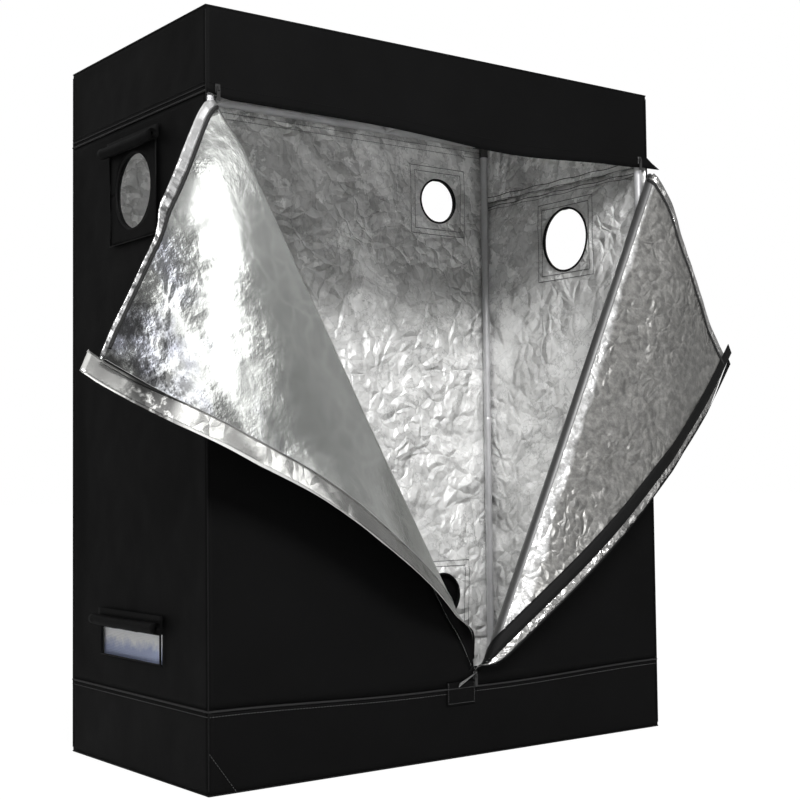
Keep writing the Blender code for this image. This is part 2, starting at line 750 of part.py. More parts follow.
def vent():
    """The window's net, sewn on inside, and its cover rolled up above it."""
    inner_x = -INNER_X + GAP
    low_y = VENT_Y - VENT_WIDTH / 2 - VENT_HEM
    low_z = VENT_BOTTOM - VENT_HEM
    pitch_y = (VENT_WIDTH + 2 * VENT_HEM - NET_WIRE) / NET_COLUMNS
    pitch_z = (VENT_TOP - VENT_BOTTOM + 2 * VENT_HEM - NET_WIRE) / NET_ROWS
    across = [low_y + pitch_y * n + edge for n in range(NET_COLUMNS + 1) for edge in (0.0, NET_WIRE)]
    up = [low_z + pitch_z * n + edge for n in range(NET_ROWS + 1) for edge in (0.0, NET_WIRE)]
    points = [(inner_x, y, z) for z in up for y in across]
    count = len(across)
    faces = [
        (r * count + c, r * count + c + 1, (r + 1) * count + c + 1, (r + 1) * count + c)
        for r in range(len(up) - 1)
        for c in range(count - 1)
        if r % 2 == 0 or c % 2 == 0
    ]
    mesh = bpy.data.meshes.new("vent_net")
    mesh.from_pydata(points, [], faces)
    obj = add_object("vent_net", mesh, NET)
    solid = obj.modifiers.new("thickness", "SOLIDIFY")
    solid.thickness = NET_THICKNESS
    solid.offset = 1.0
    roll = rolled_cover("vent_cover", VENT_WIDTH + 2 * ROLL_OVERHANG, 0.0)
    roll.location = (-WIDTH / 2, VENT_Y, VENT_TOP + ROLL_GAP + ROLL_OUTER_RADIUS)
    roll.rotation_euler = (0.0, 0.0, math.pi / 2)


# Zip sliders


def slider_mesh():
    """A zip slider about the origin: its back lies on the cloth, -Y points out, with a holed bridge."""
    body = box(
        "slider_body",
        (-SLIDER_WIDTH / 2, -SLIDER_THICKNESS, -SLIDER_LENGTH / 2),
        (SLIDER_WIDTH / 2, 0.0, SLIDER_LENGTH / 2),
        None,
        CUTTERS,
    )
    edge = body.modifiers.new("edges", "BEVEL")
    edge.width = SLIDER_BEVEL
    edge.segments = 1
    settle(body)
    bridge = box(
        "slider_bridge",
        (-BRIDGE_WIDTH / 2, -SLIDER_THICKNESS - BRIDGE_DEPTH, -BRIDGE_LENGTH / 2),
        (BRIDGE_WIDTH / 2, -SLIDER_THICKNESS / 2, BRIDGE_LENGTH / 2),
        None,
        CUTTERS,
    )
    reach = BRIDGE_WIDTH + OVERRUN
    pin_y = -SLIDER_THICKNESS - PIN_STAND
    hole = rod(
        "slider_hole", PIN_RADIUS + PIN_CLEARANCE, (-reach, pin_y, 0), (reach, pin_y, 0), PIN_SIDES
    )
    boolean(body, bridge, "UNION")
    boolean(body, hole, "DIFFERENCE")
    bpy.context.view_layer.update()
    mesh = settle(body)
    mesh.name = "zip_slider"
    mesh.materials.clear()
    mesh.materials.append(ZIP)
    return mesh


def pull_mesh():
    """The slider's pull about its pin: a forked tab that hangs down from the bridge."""
    arm_top = PIN_RADIUS
    tab = box(
        "pull_tab",
        (-PULL_WIDTH / 2, -PULL_THICKNESS / 2, -PULL_LENGTH),
        (PULL_WIDTH / 2, PULL_THICKNESS / 2, arm_top),
        None,
        CUTTERS,
    )
    notch_half = BRIDGE_WIDTH / 2 + PIN_CLEARANCE
    notch = box(
        "pull_notch",
        (-notch_half, -PULL_THICKNESS, -PULL_NOTCH),
        (notch_half, PULL_THICKNESS, arm_top + OVERRUN),
        None,
        CUTTERS,
    )
    reach = (notch_half + PULL_WIDTH / 2) / 2
    pin = rod("pull_pin", PIN_RADIUS - PIN_PLAY, (-reach, 0, 0), (reach, 0, 0), PIN_SIDES)
    boolean(tab, notch, "DIFFERENCE")
    boolean(tab, pin, "UNION")
    bpy.context.view_layer.update()
    mesh = settle(tab)
    mesh.name = "zip_pull"
    mesh.materials.clear()
    mesh.materials.append(ZIP)
    return mesh


def zips():
    slider, pull = slider_mesh(), pull_mesh()
    front = -DEPTH / 2 - GAP
    places = {
        "centre": (DOOR_SPLIT_X, SKIRT_HEIGHT + SLIDER_LENGTH / 2),
        "top_left": (-TOP_SLIDER_X, CROWN_BOTTOM + SLIDER_LENGTH / 2),
        "top_right": (TOP_SLIDER_X, CROWN_BOTTOM + SLIDER_LENGTH / 2),
    }
    for name, (x, z) in places.items():
        body = add_object(f"zip_slider_{name}", slider)
        body.location = (x, front, z)
        tab = add_object(f"zip_pull_{name}", pull)
        tab.location = (x, front - SLIDER_THICKNESS - PIN_STAND, z)


def main():
    frame_tubes()
    corners()
    hanging_bar("hanging_bar_left", -BAR_X)
    hanging_bar("hanging_bar_right", BAR_X)
    cover()
    floor_tray()
    DoorHalf("left", -1, LEFT_OPEN_DEG, LEFT_TWIST_DEG, LEFT_DROOP).build()
    DoorHalf("right", 1, RIGHT_OPEN_DEG, RIGHT_TWIST_DEG, RIGHT_DROOP).build()
    ports()
    vent()
    zips()


main()
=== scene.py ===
# %% [markdown]
# # An indoor grow tent, dressed
#
# The tent is a light frame of pushed-together tubes inside a cloth box. The cloth is black
# outside and foil inside. The frame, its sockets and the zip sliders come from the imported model,
# and this lesson makes everything that is sewn: walls, door halves, ports, the vent and their trim.
# All lengths are in metres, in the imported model's own frame.

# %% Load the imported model
import math

import bmesh
import bpy
from mathutils import Matrix, Vector, noise
from mathutils.bvhtree import BVHTree


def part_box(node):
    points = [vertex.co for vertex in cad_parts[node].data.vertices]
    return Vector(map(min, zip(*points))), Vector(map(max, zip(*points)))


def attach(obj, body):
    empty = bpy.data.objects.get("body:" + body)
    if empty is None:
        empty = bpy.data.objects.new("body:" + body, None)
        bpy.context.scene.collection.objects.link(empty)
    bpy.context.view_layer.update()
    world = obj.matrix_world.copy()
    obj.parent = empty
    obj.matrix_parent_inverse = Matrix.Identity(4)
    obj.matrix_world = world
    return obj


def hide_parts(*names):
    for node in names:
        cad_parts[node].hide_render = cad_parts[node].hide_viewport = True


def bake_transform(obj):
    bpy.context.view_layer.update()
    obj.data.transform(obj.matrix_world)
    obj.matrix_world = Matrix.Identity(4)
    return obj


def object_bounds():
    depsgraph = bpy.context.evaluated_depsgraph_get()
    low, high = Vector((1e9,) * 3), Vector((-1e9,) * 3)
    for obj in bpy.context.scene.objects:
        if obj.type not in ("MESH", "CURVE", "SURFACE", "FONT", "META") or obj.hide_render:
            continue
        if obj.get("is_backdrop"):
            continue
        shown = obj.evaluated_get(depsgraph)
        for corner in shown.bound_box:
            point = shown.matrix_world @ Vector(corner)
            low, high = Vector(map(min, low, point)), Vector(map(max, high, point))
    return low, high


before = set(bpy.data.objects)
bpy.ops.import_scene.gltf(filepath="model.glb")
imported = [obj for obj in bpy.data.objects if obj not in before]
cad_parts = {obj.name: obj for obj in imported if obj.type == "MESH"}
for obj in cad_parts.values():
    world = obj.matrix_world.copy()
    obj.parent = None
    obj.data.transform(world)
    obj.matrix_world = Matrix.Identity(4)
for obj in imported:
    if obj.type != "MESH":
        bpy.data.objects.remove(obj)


def rounded(numbers, places=3):
    return [round(number, places) for number in numbers]


cad_low, cad_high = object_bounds()
tent_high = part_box("roof_panel")[1]
HALF_X, HALF_Y, TOP = tent_high.x, tent_high.y, tent_high.z
print("tent", rounded((2 * HALF_X, 2 * HALF_Y, TOP)), "whole", rounded(cad_high - cad_low))

# %% [markdown]
# ## The camera
#
# A box of 1.2 x 0.6 x 1.5 m was fitted to the photograph's corners, which gave the camera's place
# and its three turns. It stands low, at the height of a seated person's eyes, and looks up a little.

# %% Camera
def add(name, data):
    """Puts an object with this mesh, curve, lamp or camera into the scene."""
    made = bpy.data.objects.new(name, data)
    bpy.context.scene.collection.objects.link(made)
    return made


EYE = Vector((-1.96298, -2.72838, 0.59312))
turn = Matrix.Rotation(-math.radians(36.811), 4, "Z")
tilt = Matrix.Rotation(math.radians(90 + 2.972), 4, "X")
roll = Matrix.Rotation(math.radians(-0.640), 4, "Z")
lens = bpy.data.cameras.new("photo_camera")
lens.sensor_width = 36.0
lens.lens = 65.96
lens.clip_end = 60.0
camera = add("photo_camera", lens)
camera.matrix_world = Matrix.Translation(EYE) @ turn @ tilt @ roll
bpy.context.scene.camera = camera
print("camera at", rounded(EYE, 2))

# %% [markdown]
# ## Shader sums in Python
#
# A material is a graph of nodes. Written out by hand, even a small sum takes many lines, so one
# class wraps a socket and lets Python's own signs add the Math nodes.


# %% A socket that can be added and multiplied
class Value:
    """One shader socket, so that sums on it read as sums."""

    def __init__(self, finish, socket):
        self.finish = finish
        self.socket = socket

    def sum(self, operation, first, second=0.0):
        return self.finish.node("ShaderNodeMath", {"operation": operation}, {0: first, 1: second})

    def __add__(self, other):
        return self.sum("ADD", self, other)

    def __sub__(self, other):
        return self.sum("SUBTRACT", self, other)

    def __rsub__(self, other):
        return self.sum("SUBTRACT", other, self)

    def __mul__(self, other):
        return self.sum("MULTIPLY", self, other)

    def __pow__(self, other):
        return self.sum("POWER", self, other)

    __radd__ = __add__
    __rmul__ = __mul__

    def over(self, edge):
        return self.sum("GREATER_THAN", self, edge)

    def wave(self):
        return self.sum("SINE", self)

    def clear(self):
        """Kept between 0 and 1."""
        return self.sum("MINIMUM", self.sum("MAXIMUM", self, 0.0), 1.0)

    def past(self, start, slope):
        """0 before a place and 1 beyond it, or the other way round where the slope is negative."""
        return ((self - start) * slope).clear()


print("sockets can be summed")

# %% [markdown]
# ## One method for every other node
#
# `node` takes a node's type, the settings that are set first, and what goes into its sockets. A
# ramp's stops count as a setting.


# %% A material being made
class Graph:
    """A node tree being built."""

    def __init__(self, tree):
        self.tree = tree

    def put(self, socket, value):
        if isinstance(value, Value):
            self.tree.links.new(value.socket, socket)
        else:
            socket.default_value = value

    def node(self, kind, settings=None, inputs=None, output=0):
        made = self.tree.nodes.new(kind)
        for key, value in (settings or {}).items():
            if key == "stops":
                ramp = made.color_ramp.elements
                for number, (place, colour) in enumerate(value):
                    stop = ramp[number] if number < 2 else ramp.new(place)
                    stop.position, stop.color = place, colour
            else:
                setattr(made, key, value)
        for key, value in (inputs or {}).items():
            self.put(made.inputs[key], value)
        return Value(self, made.outputs[output])

    def scaled(self, vector, factor):
        return self.node("ShaderNodeVectorMath", {"operation": "SCALE"}, {0: vector, "Scale": factor})

    def moved(self, vector, other):
        return self.node("ShaderNodeVectorMath", {"operation": "ADD"}, {0: vector, 1: other})

    def parts(self, vector):
        first = self.node("ShaderNodeSeparateXYZ", {}, {0: vector})
        return [Value(self, socket) for socket in first.socket.node.outputs]


class Finish(Graph):
    """A material: its Principled shader, and the patterns that feed it."""

    def __init__(self, name, **constants):
        self.material = bpy.data.materials.new(name)
        self.material.use_nodes = True
        super().__init__(self.material.node_tree)
        self.shader = self.tree.nodes["Principled BSDF"]
        for socket, value in constants.items():
            self.shader.inputs[socket.replace("_", " ")].default_value = value

    def cloth_place(self):
        """Where a point lies on the flat cloth, in metres."""
        return self.node("ShaderNodeUVMap")

    def body_place(self):
        """Where a point lies in the piece's own space, in metres."""
        return self.node("ShaderNodeTexCoord", {}, {}, "Object")

    def noise(self, vector, scale, detail=2.0, roughness=0.5, output=0):
        inputs = {"Vector": vector, "Scale": scale, "Detail": detail, "Roughness": roughness}
        return self.node("ShaderNodeTexNoise", {}, inputs, output)

    def patches(self, vector, scale, detail, roughness, gain, cut):
        """Spots of 1 on 0 with soft edges: a noise whose contrast is raised."""
        return (self.noise(vector, scale, detail, roughness) * gain - cut).clear()

    def bent(self, vector, scale, detail, roughness, amount):
        """A place pushed about by a noise, so that a pattern laid on it bends."""
        return self.moved(vector, self.scaled(self.noise(vector, scale, detail, roughness, 1), amount))

    def cracks(self, vector, scale):
        """Distance to the nearest crease of a net of creases."""
        settings = {"feature": "DISTANCE_TO_EDGE"}
        return self.node("ShaderNodeTexVoronoi", settings, {"Vector": vector, "Scale": scale})

    def facets(self, vector, scale):
        """A tone of its own for each facet between the creases."""
        return self.node("ShaderNodeTexVoronoi", {}, {"Vector": vector, "Scale": scale}, "Color")

    def mixed(self, share, first, second):
        return self.node("ShaderNodeMix", {"data_type": "RGBA"}, {0: share, 6: first, 7: second}, 2)

    def bumped(self, height, depth, strength=1.0):
        inputs = {"Height": height, "Distance": depth, "Strength": strength}
        self.put(self.shader.inputs["Normal"], self.node("ShaderNodeBump", {}, inputs))

    def feeds(self, **sockets):
        for socket, value in sockets.items():
            self.put(self.shader.inputs[socket.replace("_", " ")], value)
        return self.material


def grey(level, tint=(1.0, 1.0, 1.0)):
    return (level * tint[0], level * tint[1], level * tint[2], 1.0)


print("materials can be made")

# %% [markdown]
# ## Black oxford cloth
#
# The outside is a tight plain weave with a coating. It could be a picture of cloth, but a weave
# made by two sets of sine waves keeps its size on every piece. A slow noise gives the faint
# clouding of a folded tent that has just been put up.


# %% The outside cloth
def oxford(name, level, weave, sheen):
    """Black cloth of a brightness, with threads a weave apart in metres."""
    finish = Finish(name, Specular_IOR_Level=sheen)
    place = finish.cloth_place()
    across, along, _ = finish.parts(finish.scaled(place, math.tau / weave))
    threads = across.wave() * 0.5 + along.wave() * 0.5
    cloud = finish.noise(place, 5.0, 4.0, 0.6)
    creases = finish.noise(place, 22.0, 3.0, 0.55)
    colour = finish.mixed(cloud, grey(level * 0.7), grey(level * 1.4, (1.0, 1.0, 1.03)))
    finish.bumped(threads * 0.1 + creases * 1.2, 0.0012, 0.5)
    return finish.feeds(Base_Color=colour, Roughness=cloud * 0.2 + 0.5)


OXFORD = oxford("black_oxford", 0.003, 0.0011, 0.04)
TRIM = oxford("black_binding", 0.005, 0.0016, 0.1)
SEAM = oxford("seam_welt", 0.012, 0.0014, 0.25)
print("black cloth", OXFORD.name, TRIM.name, SEAM.name)

# %% [markdown]
# ## Foil lining
#
# The lining is a bright film glued to the cloth. It creases into small flat facets with sharp
# ridges between them, and it has broad dents too. Two nets of creases, bent out of shape by a noise,
# make the facets. A finer noise gives the pebbled film. The ridges carry a painted highlight.


# %% The foil
def foil(name, level, tint, roughness, metal, relief, facet, extra=None):
    """Creased foil. The relief is the depth of its creases, and facet makes them finer or coarser."""
    finish = Finish(name, Metallic=metal)
    flat = finish.cloth_place()
    place = finish.bent(flat, 6.0, 3.0, 0.55, 0.12)
    large = finish.cracks(place, 9.0 / facet)
    small = finish.cracks(finish.moved(place, (3.1, 1.7, 0.0)), 27.0 / facet)
    crumpled = finish.patches(flat, 3.2, 3.0, 0.6, 3.4, 1.1)
    dents = finish.noise(place, 9.0 / facet, 3.0, 0.5)
    film = finish.noise(flat, 180.0, 2.0, 0.5)
    height = large * 0.8 + small * crumpled * 0.75 + dents * 1.1 + film * 0.012
    blotch = finish.noise(flat, 4.5, 4.0, 0.62)
    # The ridges are painted lighter: a painted highlight.
    painted_ridge_highlight = (1.0 - (small * 7.0).clear()) * crumpled
    colour = finish.mixed(blotch, grey(level * 0.8, tint), grey(level * 1.12, tint))
    colour = finish.mixed(painted_ridge_highlight * 0.35, colour, grey(min(level * 1.5, 0.97), tint))
    if extra:
        colour, height = extra(finish, flat, colour, height)
    finish.bumped(height, relief)
    return finish.feeds(Base_Color=colour, Roughness=blotch * 0.2 + (roughness - 0.1))


def dull_patches_and_painted_shade(finish, flat, colour, height):
    """The walls' film is duller in patches where hands rubbed it; its creases and top carry painted shade."""
    rubbed = finish.patches(flat, 6.5, 5.0, 0.72, 5.0, 2.1)
    bend = finish.bent(flat, 11.0, 4.0, 0.65, 0.16)
    _, height_up, _ = finish.parts(flat)
    # Toward the top the facets' tones darken the film much more: a painted shade under the crown.
    upper = height_up.past(0.95, 6.0) * 0.5 + 0.12
    tones = [finish.parts(finish.facets(bend, scale))[0] for scale in (9.0, 24.0)]
    shade = ((tones[0] * 0.6 + tones[1] * 0.6) * 2.4 - 1.0).clear() * upper
    colour = finish.mixed(rubbed * 0.42, colour, grey(0.3, (1.0, 1.0, 0.98)))
    crumpled = finish.patches(flat, 4.0, 3.0, 0.6, 4.0, 1.5) * 0.6 + 0.25
    # The crease lines are painted darker: a painted shade in the creases.
    lines = (1.0 - (finish.cracks(bend, 24.0) * 17.0).clear()) * crumpled
    colour = finish.mixed(lines * 0.6, colour, grey(0.22))
    return finish.mixed(shade * 0.7, colour, grey(0.16, (1.0, 1.0, 0.98))), height


def right_fold(finish, flat, colour, height):
    """The right half is duller and mottled, with painted shade round its fold and a painted highlight just
    past it.
    """
    across, along, _ = finish.parts(flat)
    wander = finish.noise(flat, 9.0, 3.0)
    mottle = finish.patches(flat, 48.0, 5.0, 0.78, 4.0, 1.6)
    colour = finish.mixed(mottle, finish.mixed(0.62, colour, grey(0.06)), colour)
    shreds = finish.patches(flat, 34.0, 4.0, 0.7, 4.0, 1.45) * 0.75 + 0.25
    # Round the fold, up to here, the cloth is painted dark grey: a painted shade.
    past_painted_fold_shade = across.over(0.019)
    from_fold = across + wander * 0.05 - along * 0.032 - 0.04
    # A light strip just past the fold: a painted highlight on its creases.
    painted_fold_highlight = (1.0 - from_fold * 90.0).clear() * past_painted_fold_shade * shreds
    colour = finish.mixed(painted_fold_highlight * 0.85, colour, grey(0.9))
    colour = finish.mixed(past_painted_fold_shade, grey(0.075), colour)
    crinkle = finish.cracks(finish.bent(flat, 30.0, 2.0, 0.5, 0.02), 70.0)
    return colour, (height * 1.7 + crinkle * painted_fold_highlight * 0.5) * past_painted_fold_shade


def left_dimples_and_painted_reflections(finish, flat, colour, height):
    """The left half is smooth film with shallow dimples; its outer part carries painted reflections, bluish
    and dark.
    """
    dimples = finish.noise(flat, 60.0, 3.0, 0.6)
    spots = finish.patches(flat, 7.0, 3.0, 0.6, 4.0, 1.7)
    across, _, _ = finish.parts(flat)
    outer = across.past(0.27, 9.0)
    # Bluish spots on the outer part: a painted reflection.
    colour = finish.mixed(outer * spots * 0.6, colour, (0.46, 0.48, 0.72, 1.0))
    # Dark patches on the outer part: painted reflections.
    dark = finish.patches(flat, 19.0, 4.0, 0.72, 7.0, 2.9) * across.past(0.33, 9.0)
    colour = finish.mixed(dark * 0.86, colour, grey(0.06))
    return colour, height * (outer * 0.32 + 0.1) + dimples * spots * 0.12 + dimples * outer * 0.1


def hem_shade(finish, flat, colour, height):
    """The hem carries painted dark reflections near its free end, and a painted shade toward the zip's foot.
    """
    _, along, _ = finish.parts(flat)
    # Dark patches near the free end: painted reflections, as on the rest of the half.
    painted_reflection_span = along.past(0.04, 30.0) * along.past(0.2, -20.0)
    dark = finish.patches(flat, 36.0, 3.0, 0.7, 7.0, 2.4) * painted_reflection_span
    # Darker toward the zip's foot: a painted shade.
    painted_shade_to_foot = along.past(0.3, 4.0)
    return finish.mixed((dark * 0.9 + painted_shade_to_foot * 0.6).clear(), colour, grey(0.05)), height * 0.45


def zip_flecks(finish, flat, colour, height):
    """Away from its upper end the strip is rubbed dark by the zip beside it."""
    _, along, _ = finish.parts(flat)
    flecks = finish.patches(flat, 55.0, 3.0, 0.7, 6.0, 2.5) * along.past(0.16, 8.0)
    return finish.mixed(flecks * 0.85, colour, grey(0.04)), height


LINING = foil("foil_lining", 0.97, (1.0, 1.0, 0.99), 0.5, 0.4, 0.028, 1.2, dull_patches_and_painted_shade)
LEFT_FOIL = foil("foil_left_half", 0.72, (0.98, 1.0, 0.97), 0.19, 0.94, 0.008, 1.6, left_dimples_and_painted_reflections)
# The right half's foil is given a far darker level than the left half's: a painted shade on the same film.
SHADED_RIGHT_FOIL = foil("foil_right_half", 0.27, (1.0, 0.985, 0.94), 0.42, 0.5, 0.008, 0.8, right_fold)
BRIGHT_STRIP = foil("foil_strip", 0.66, (1.0, 1.0, 1.0), 0.3, 0.7, 0.008, 0.7, zip_flecks)
STORM_STRIP = foil("foil_storm_strip", 0.5, (1.0, 0.99, 0.97), 0.28, 0.9, 0.014, 0.6)
HEM_FOIL = foil("foil_hem", 0.96, (1.0, 1.0, 0.97), 0.22, 0.94, 0.006, 1.6, hem_shade)
print("foil", LINING.name, LEFT_FOIL.name, SHADED_RIGHT_FOIL.name)

# %% [markdown]
# ## Tubes, sockets, zips and the net
#
# These are plain finishes, each with the small unevenness of its process: paint that is slightly
# pebbled, moulded plastic with fine grain, a coil zip with ribs across its tape.


# %% The other finishes
def painted_tube():
    finish = Finish("grey_tube_paint", Metallic=0.35)
    place = finish.body_place()
    streak = finish.noise(place, 40.0, 3.0)
    finish.bumped(finish.noise(place, 900.0, 2.0), 0.0004, 0.4)
    colour = finish.mixed(streak, grey(0.38, (1.0, 1.0, 1.02)), grey(0.5, (1.0, 1.0, 1.02)))
    return finish.feeds(Base_Color=colour, Roughness=streak * 0.2 + 0.3)


def moulded(name, level, roughness):
    finish = Finish(name)
    place = finish.body_place()
    grain = finish.noise(place, 700.0, 3.0)
    finish.bumped(grain, 0.0003, 0.5)
    worn = finish.noise(place, 30.0, 3.0)
    colour = finish.mixed(worn, grey(level * 0.8), grey(level * 1.4))
    return finish.feeds(Base_Color=colour, Roughness=worn * 0.15 + roughness)


def zip_tape():
    coil_pitch, thread_pitch = 0.0022, 0.0012
    finish = Finish("zip_tape", Specular_IOR_Level=0.3)
    across, along, _ = finish.parts(finish.cloth_place())
    ribs = (along * (math.tau / coil_pitch)).wave()
    weave = (across * (math.tau / thread_pitch)).wave()
    finish.bumped(ribs * 0.5 + weave * 0.2, 0.0008, 0.6)
    colour = finish.mixed((ribs * 0.5 + 0.5).clear(), grey(0.006), grey(0.02))
    return finish.feeds(Base_Color=colour, Roughness=weave * 0.08 + 0.55)


def net():
    """Silvery net, bluish in its lower half, where the inside of the tent shows darker behind it."""
    mesh_pitch, half_way_up = 0.0032, 0.256
    finish = Finish("vent_net_weave", Metallic=0.1)
    place = finish.cloth_place()
    across, along, _ = finish.parts(finish.scaled(place, math.tau / mesh_pitch))
    knots = (across.wave() * 0.5 + 0.5) * (along.wave() * 0.5 + 0.5)
    cloud = finish.noise(place, 26.0, 5.0, 0.7)
    _, height, _ = finish.parts(place)
    lit = (cloud * 2.4 - 0.7 + (height - half_way_up) * 45.0).clear()
    colour = finish.mixed(lit, (0.46, 0.52, 0.74, 1.0), (0.97, 0.98, 1.0, 1.0))
    finish.bumped(knots * 0.6 + cloud, 0.003)
    return finish.feeds(Base_Color=colour, Roughness=cloud * 0.2 + 0.45)


def ground_sheet():
    finish = Finish("tray_ground_sheet", Specular_IOR_Level=0.4)
    place = finish.cloth_place()
    folds = finish.cracks(finish.bent(place, 7.0, 3.0, 0.6, 0.1), 8.0)
    cloud = finish.noise(place, 4.0, 4.0)
    finish.bumped(folds * 0.8 + cloud * 0.4, 0.006)
    return finish.feeds(Base_Color=finish.mixed(cloud, grey(0.1), grey(0.2)), Roughness=cloud * 0.2 + 0.35)


TUBE = painted_tube()
SOCKET = moulded("socket_plastic", 0.025, 0.42)
SLIDER = moulded("zip_metal", 0.008, 0.35)
TAPE = zip_tape()
NET = net()
TRAY = ground_sheet()
THREAD = moulded("sewing_thread", 0.05, 0.6)
HEM_THREAD = moulded("hem_thread", 0.2, 0.6)
print("finishes", [m.name for m in (TUBE, SOCKET, SLIDER, TAPE, NET, TRAY, THREAD, HEM_THREAD)])

# %% [markdown]
# ## Carry over the rigid pieces
#
# The tubes, sockets, hanging bars, sliders and pulls are right as they are. Only their finish
# changes.

# %% Finish the rigid pieces
RIGID = {"corner": SOCKET, "post": TUBE, "rail": TUBE, "hanging": TUBE, "zip": SLIDER}
for node_name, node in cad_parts.items():
    kind = node_name.split("_")[0]
    if kind in RIGID:
        node.material_slots[0].material = RIGID[kind]
print("kept", sum(name.split("_")[0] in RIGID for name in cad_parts), "packed pieces")

# %% [markdown]
# ## Cloth from a grid
#
# Every sewn panel is a grid of points on the flat cloth, each sent to its place in space by a
# function. The flat coordinates stay on the mesh as its UV map, in metres, so a weave keeps its
# size. Solidify then gives the cloth two sides, with its own finish on each.


# %% A sheet of cloth
def cloth(name, grid, shape, outside, inside, thickness=0.0012, side=-1.0):
    """Builds a panel. The grid holds rows of (u, v) on the flat cloth, and shape(u, v) gives the place."""
    columns = len(grid[0])
    flat = [spot for row in grid for spot in row]
    faces = [
        (r * columns + c, r * columns + c + 1, (r + 1) * columns + c + 1, (r + 1) * columns + c)
        for r in range(len(grid) - 1)
        for c in range(columns - 1)
    ]
    mesh = bpy.data.meshes.new(name)
    mesh.from_pydata([shape(u, v) for u, v in flat], [], faces)
    layer = mesh.uv_layers.new(name="UVMap")
    for loop in mesh.loops:
        layer.data[loop.index].uv = flat[loop.vertex_index]
    mesh.materials.append(outside)
    mesh.materials.append(inside)
    mesh.shade_smooth()
    piece = add(name, mesh)
    solid = piece.modifiers.new("two_sides", "SOLIDIFY")
    solid.thickness = thickness
    solid.offset = side
    solid.material_offset = 1
    return piece


def spread(low, high, count):
    """Evenly spaced numbers from low to high, with this many steps between them."""
    return [low + (high - low) * n / count for n in range(count + 1)]


def steps(low, high, step):
    """Evenly spaced numbers from low to high, about a step apart."""
    return spread(low, high, max(1, round((high - low) / step)))


def square_grid(u_low, u_high, v_low, v_high, step):
    across = steps(u_low, u_high, step)
    return [[(u, v) for u in across] for v in steps(v_low, v_high, step)]


def corners(low, high):
    """The four corners of an upright rectangle, in order round it."""
    return [(low[0], low[1]), (high[0], low[1]), (high[0], high[1]), (low[0], high[1])]


def settle(piece):
    """Makes the modifiers' result the piece's own mesh."""
    graph = bpy.context.evaluated_depsgraph_get()
    made = bpy.data.meshes.new_from_object(piece.evaluated_get(graph))
    piece.modifiers.clear()
    piece.data = made


def belongs(piece, slot, *nodes, body="tent"):
    """Says which nodes a piece stands for, and which body carries it. The slot is not used."""
    if nodes:
        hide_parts(*nodes)
    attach(piece, body)


def ease(share):
    """Goes smoothly from 0 to 1 as the share does."""
    share = min(max(share, 0.0), 1.0)
    return share * share * (3 - 2 * share)


print("cloth can be made")

# %% [markdown]
# ## How foil-lined cloth wrinkles
#
# The panels hang a little slack between their seams. A ridged noise gives long sharp creases, and
# it fades to nothing at the seams, where the cloth is held.


# %% Wrinkle height
def creased(u, v, seed, size):
    """Height of one spot of slack cloth, between about -1 and 1."""
    spot = Vector((u / size, v / size, seed))
    ridges = noise.ridged_multi_fractal(spot, 0.9, 2.1, 4, 1.0, 1.8)
    slow = noise.noise(spot * 0.35)
    return (ridges - 1.1) * 0.6 + slow


def pressed(height, lines, seed, u):
    """The low ridges left where the cloth was folded flat, at the given heights."""
    total = 0.0
    for line in lines:
        away = abs(height - line - 0.004 * noise.noise(Vector((u * 6.0, line * 9.0, seed))))
        strength = 0.6 + 0.6 * noise.noise(Vector((u * 3.0, line * 5.0, seed + 4.0)))
        total += max(0.0, 1.0 - away / 0.007) * max(strength, 0.0)
    return total


def through(knots, share):
    """A smooth curve through a few knots (share, value), with shares from 0 to 1."""
    share = min(max(share, 0.0), 1.0)
    last = len(knots) - 1
    first = next(n for n in range(last) if share <= knots[n + 1][0])
    slopes = []
    for knot in (first, first + 1):
        (x_before, y_before), (x_after, y_after) = knots[max(knot - 1, 0)], knots[min(knot + 1, last)]
        slopes.append((y_after - y_before) / (x_after - x_before))
    (x_low, y_low), (x_high, y_high) = knots[first], knots[first + 1]
    width = x_high - x_low
    t = (share - x_low) / width
    eased = t * t * (3 - 2 * t)
    bent = t * (1 - t) * width * (slopes[0] * (1 - t) - slopes[1] * t)
    return y_low + (y_high - y_low) * eased + bent


def held(value, low, high, reach):
    """Zero at both ends of a span, and one from a reach inside them."""
    return ease((value - low) / reach) * ease((high - value) / reach)


print("sample creases", rounded((creased(x / 10, 0.5, 3.0, 0.12) for x in range(5)), 2))

# %% [markdown]
# ## Walls
#
# Each wall is one panel. Its outer face lies in the tent's side, and the slack goes inward only, so
# the tent keeps its size. Port and vent holes are cut with the Boolean modifier, which is the way
# that keeps them round.

# %% Wall places
skirt_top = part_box("skirt_band")[1].z
crown_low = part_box("crown_band")[0].z
SLACK, BACK_SLACK = 0.0035, 0.0055
STEP = 0.012


def cut(piece, cutters):
    """Cuts holes in a panel, and takes the cutters away."""
    for cutter in cutters:
        hole = piece.modifiers.new("hole", "BOOLEAN")
        hole.operation = "DIFFERENCE"
        hole.solver = "EXACT"
        hole.object = cutter
    settle(piece)
    for cutter in cutters:
        bpy.data.objects.remove(cutter)


def round_cutter(centre, axis, radius):
    bpy.ops.mesh.primitive_cylinder_add(vertices=64, radius=radius, depth=0.06, location=centre)
    cutter = bpy.context.object
    cutter.rotation_euler = Vector(axis).to_track_quat("Z", "Y").to_euler()
    bpy.context.view_layer.update()
    return cutter


def box_cutter(low, high):
    bpy.ops.mesh.primitive_cube_add(size=1.0, location=(Vector(low) + Vector(high)) / 2)
    cutter = bpy.context.object
    cutter.scale = Vector(high) - Vector(low)
    bpy.context.view_layer.update()
    return cutter


def middle(node):
    low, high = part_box(node)
    return (low + high) / 2


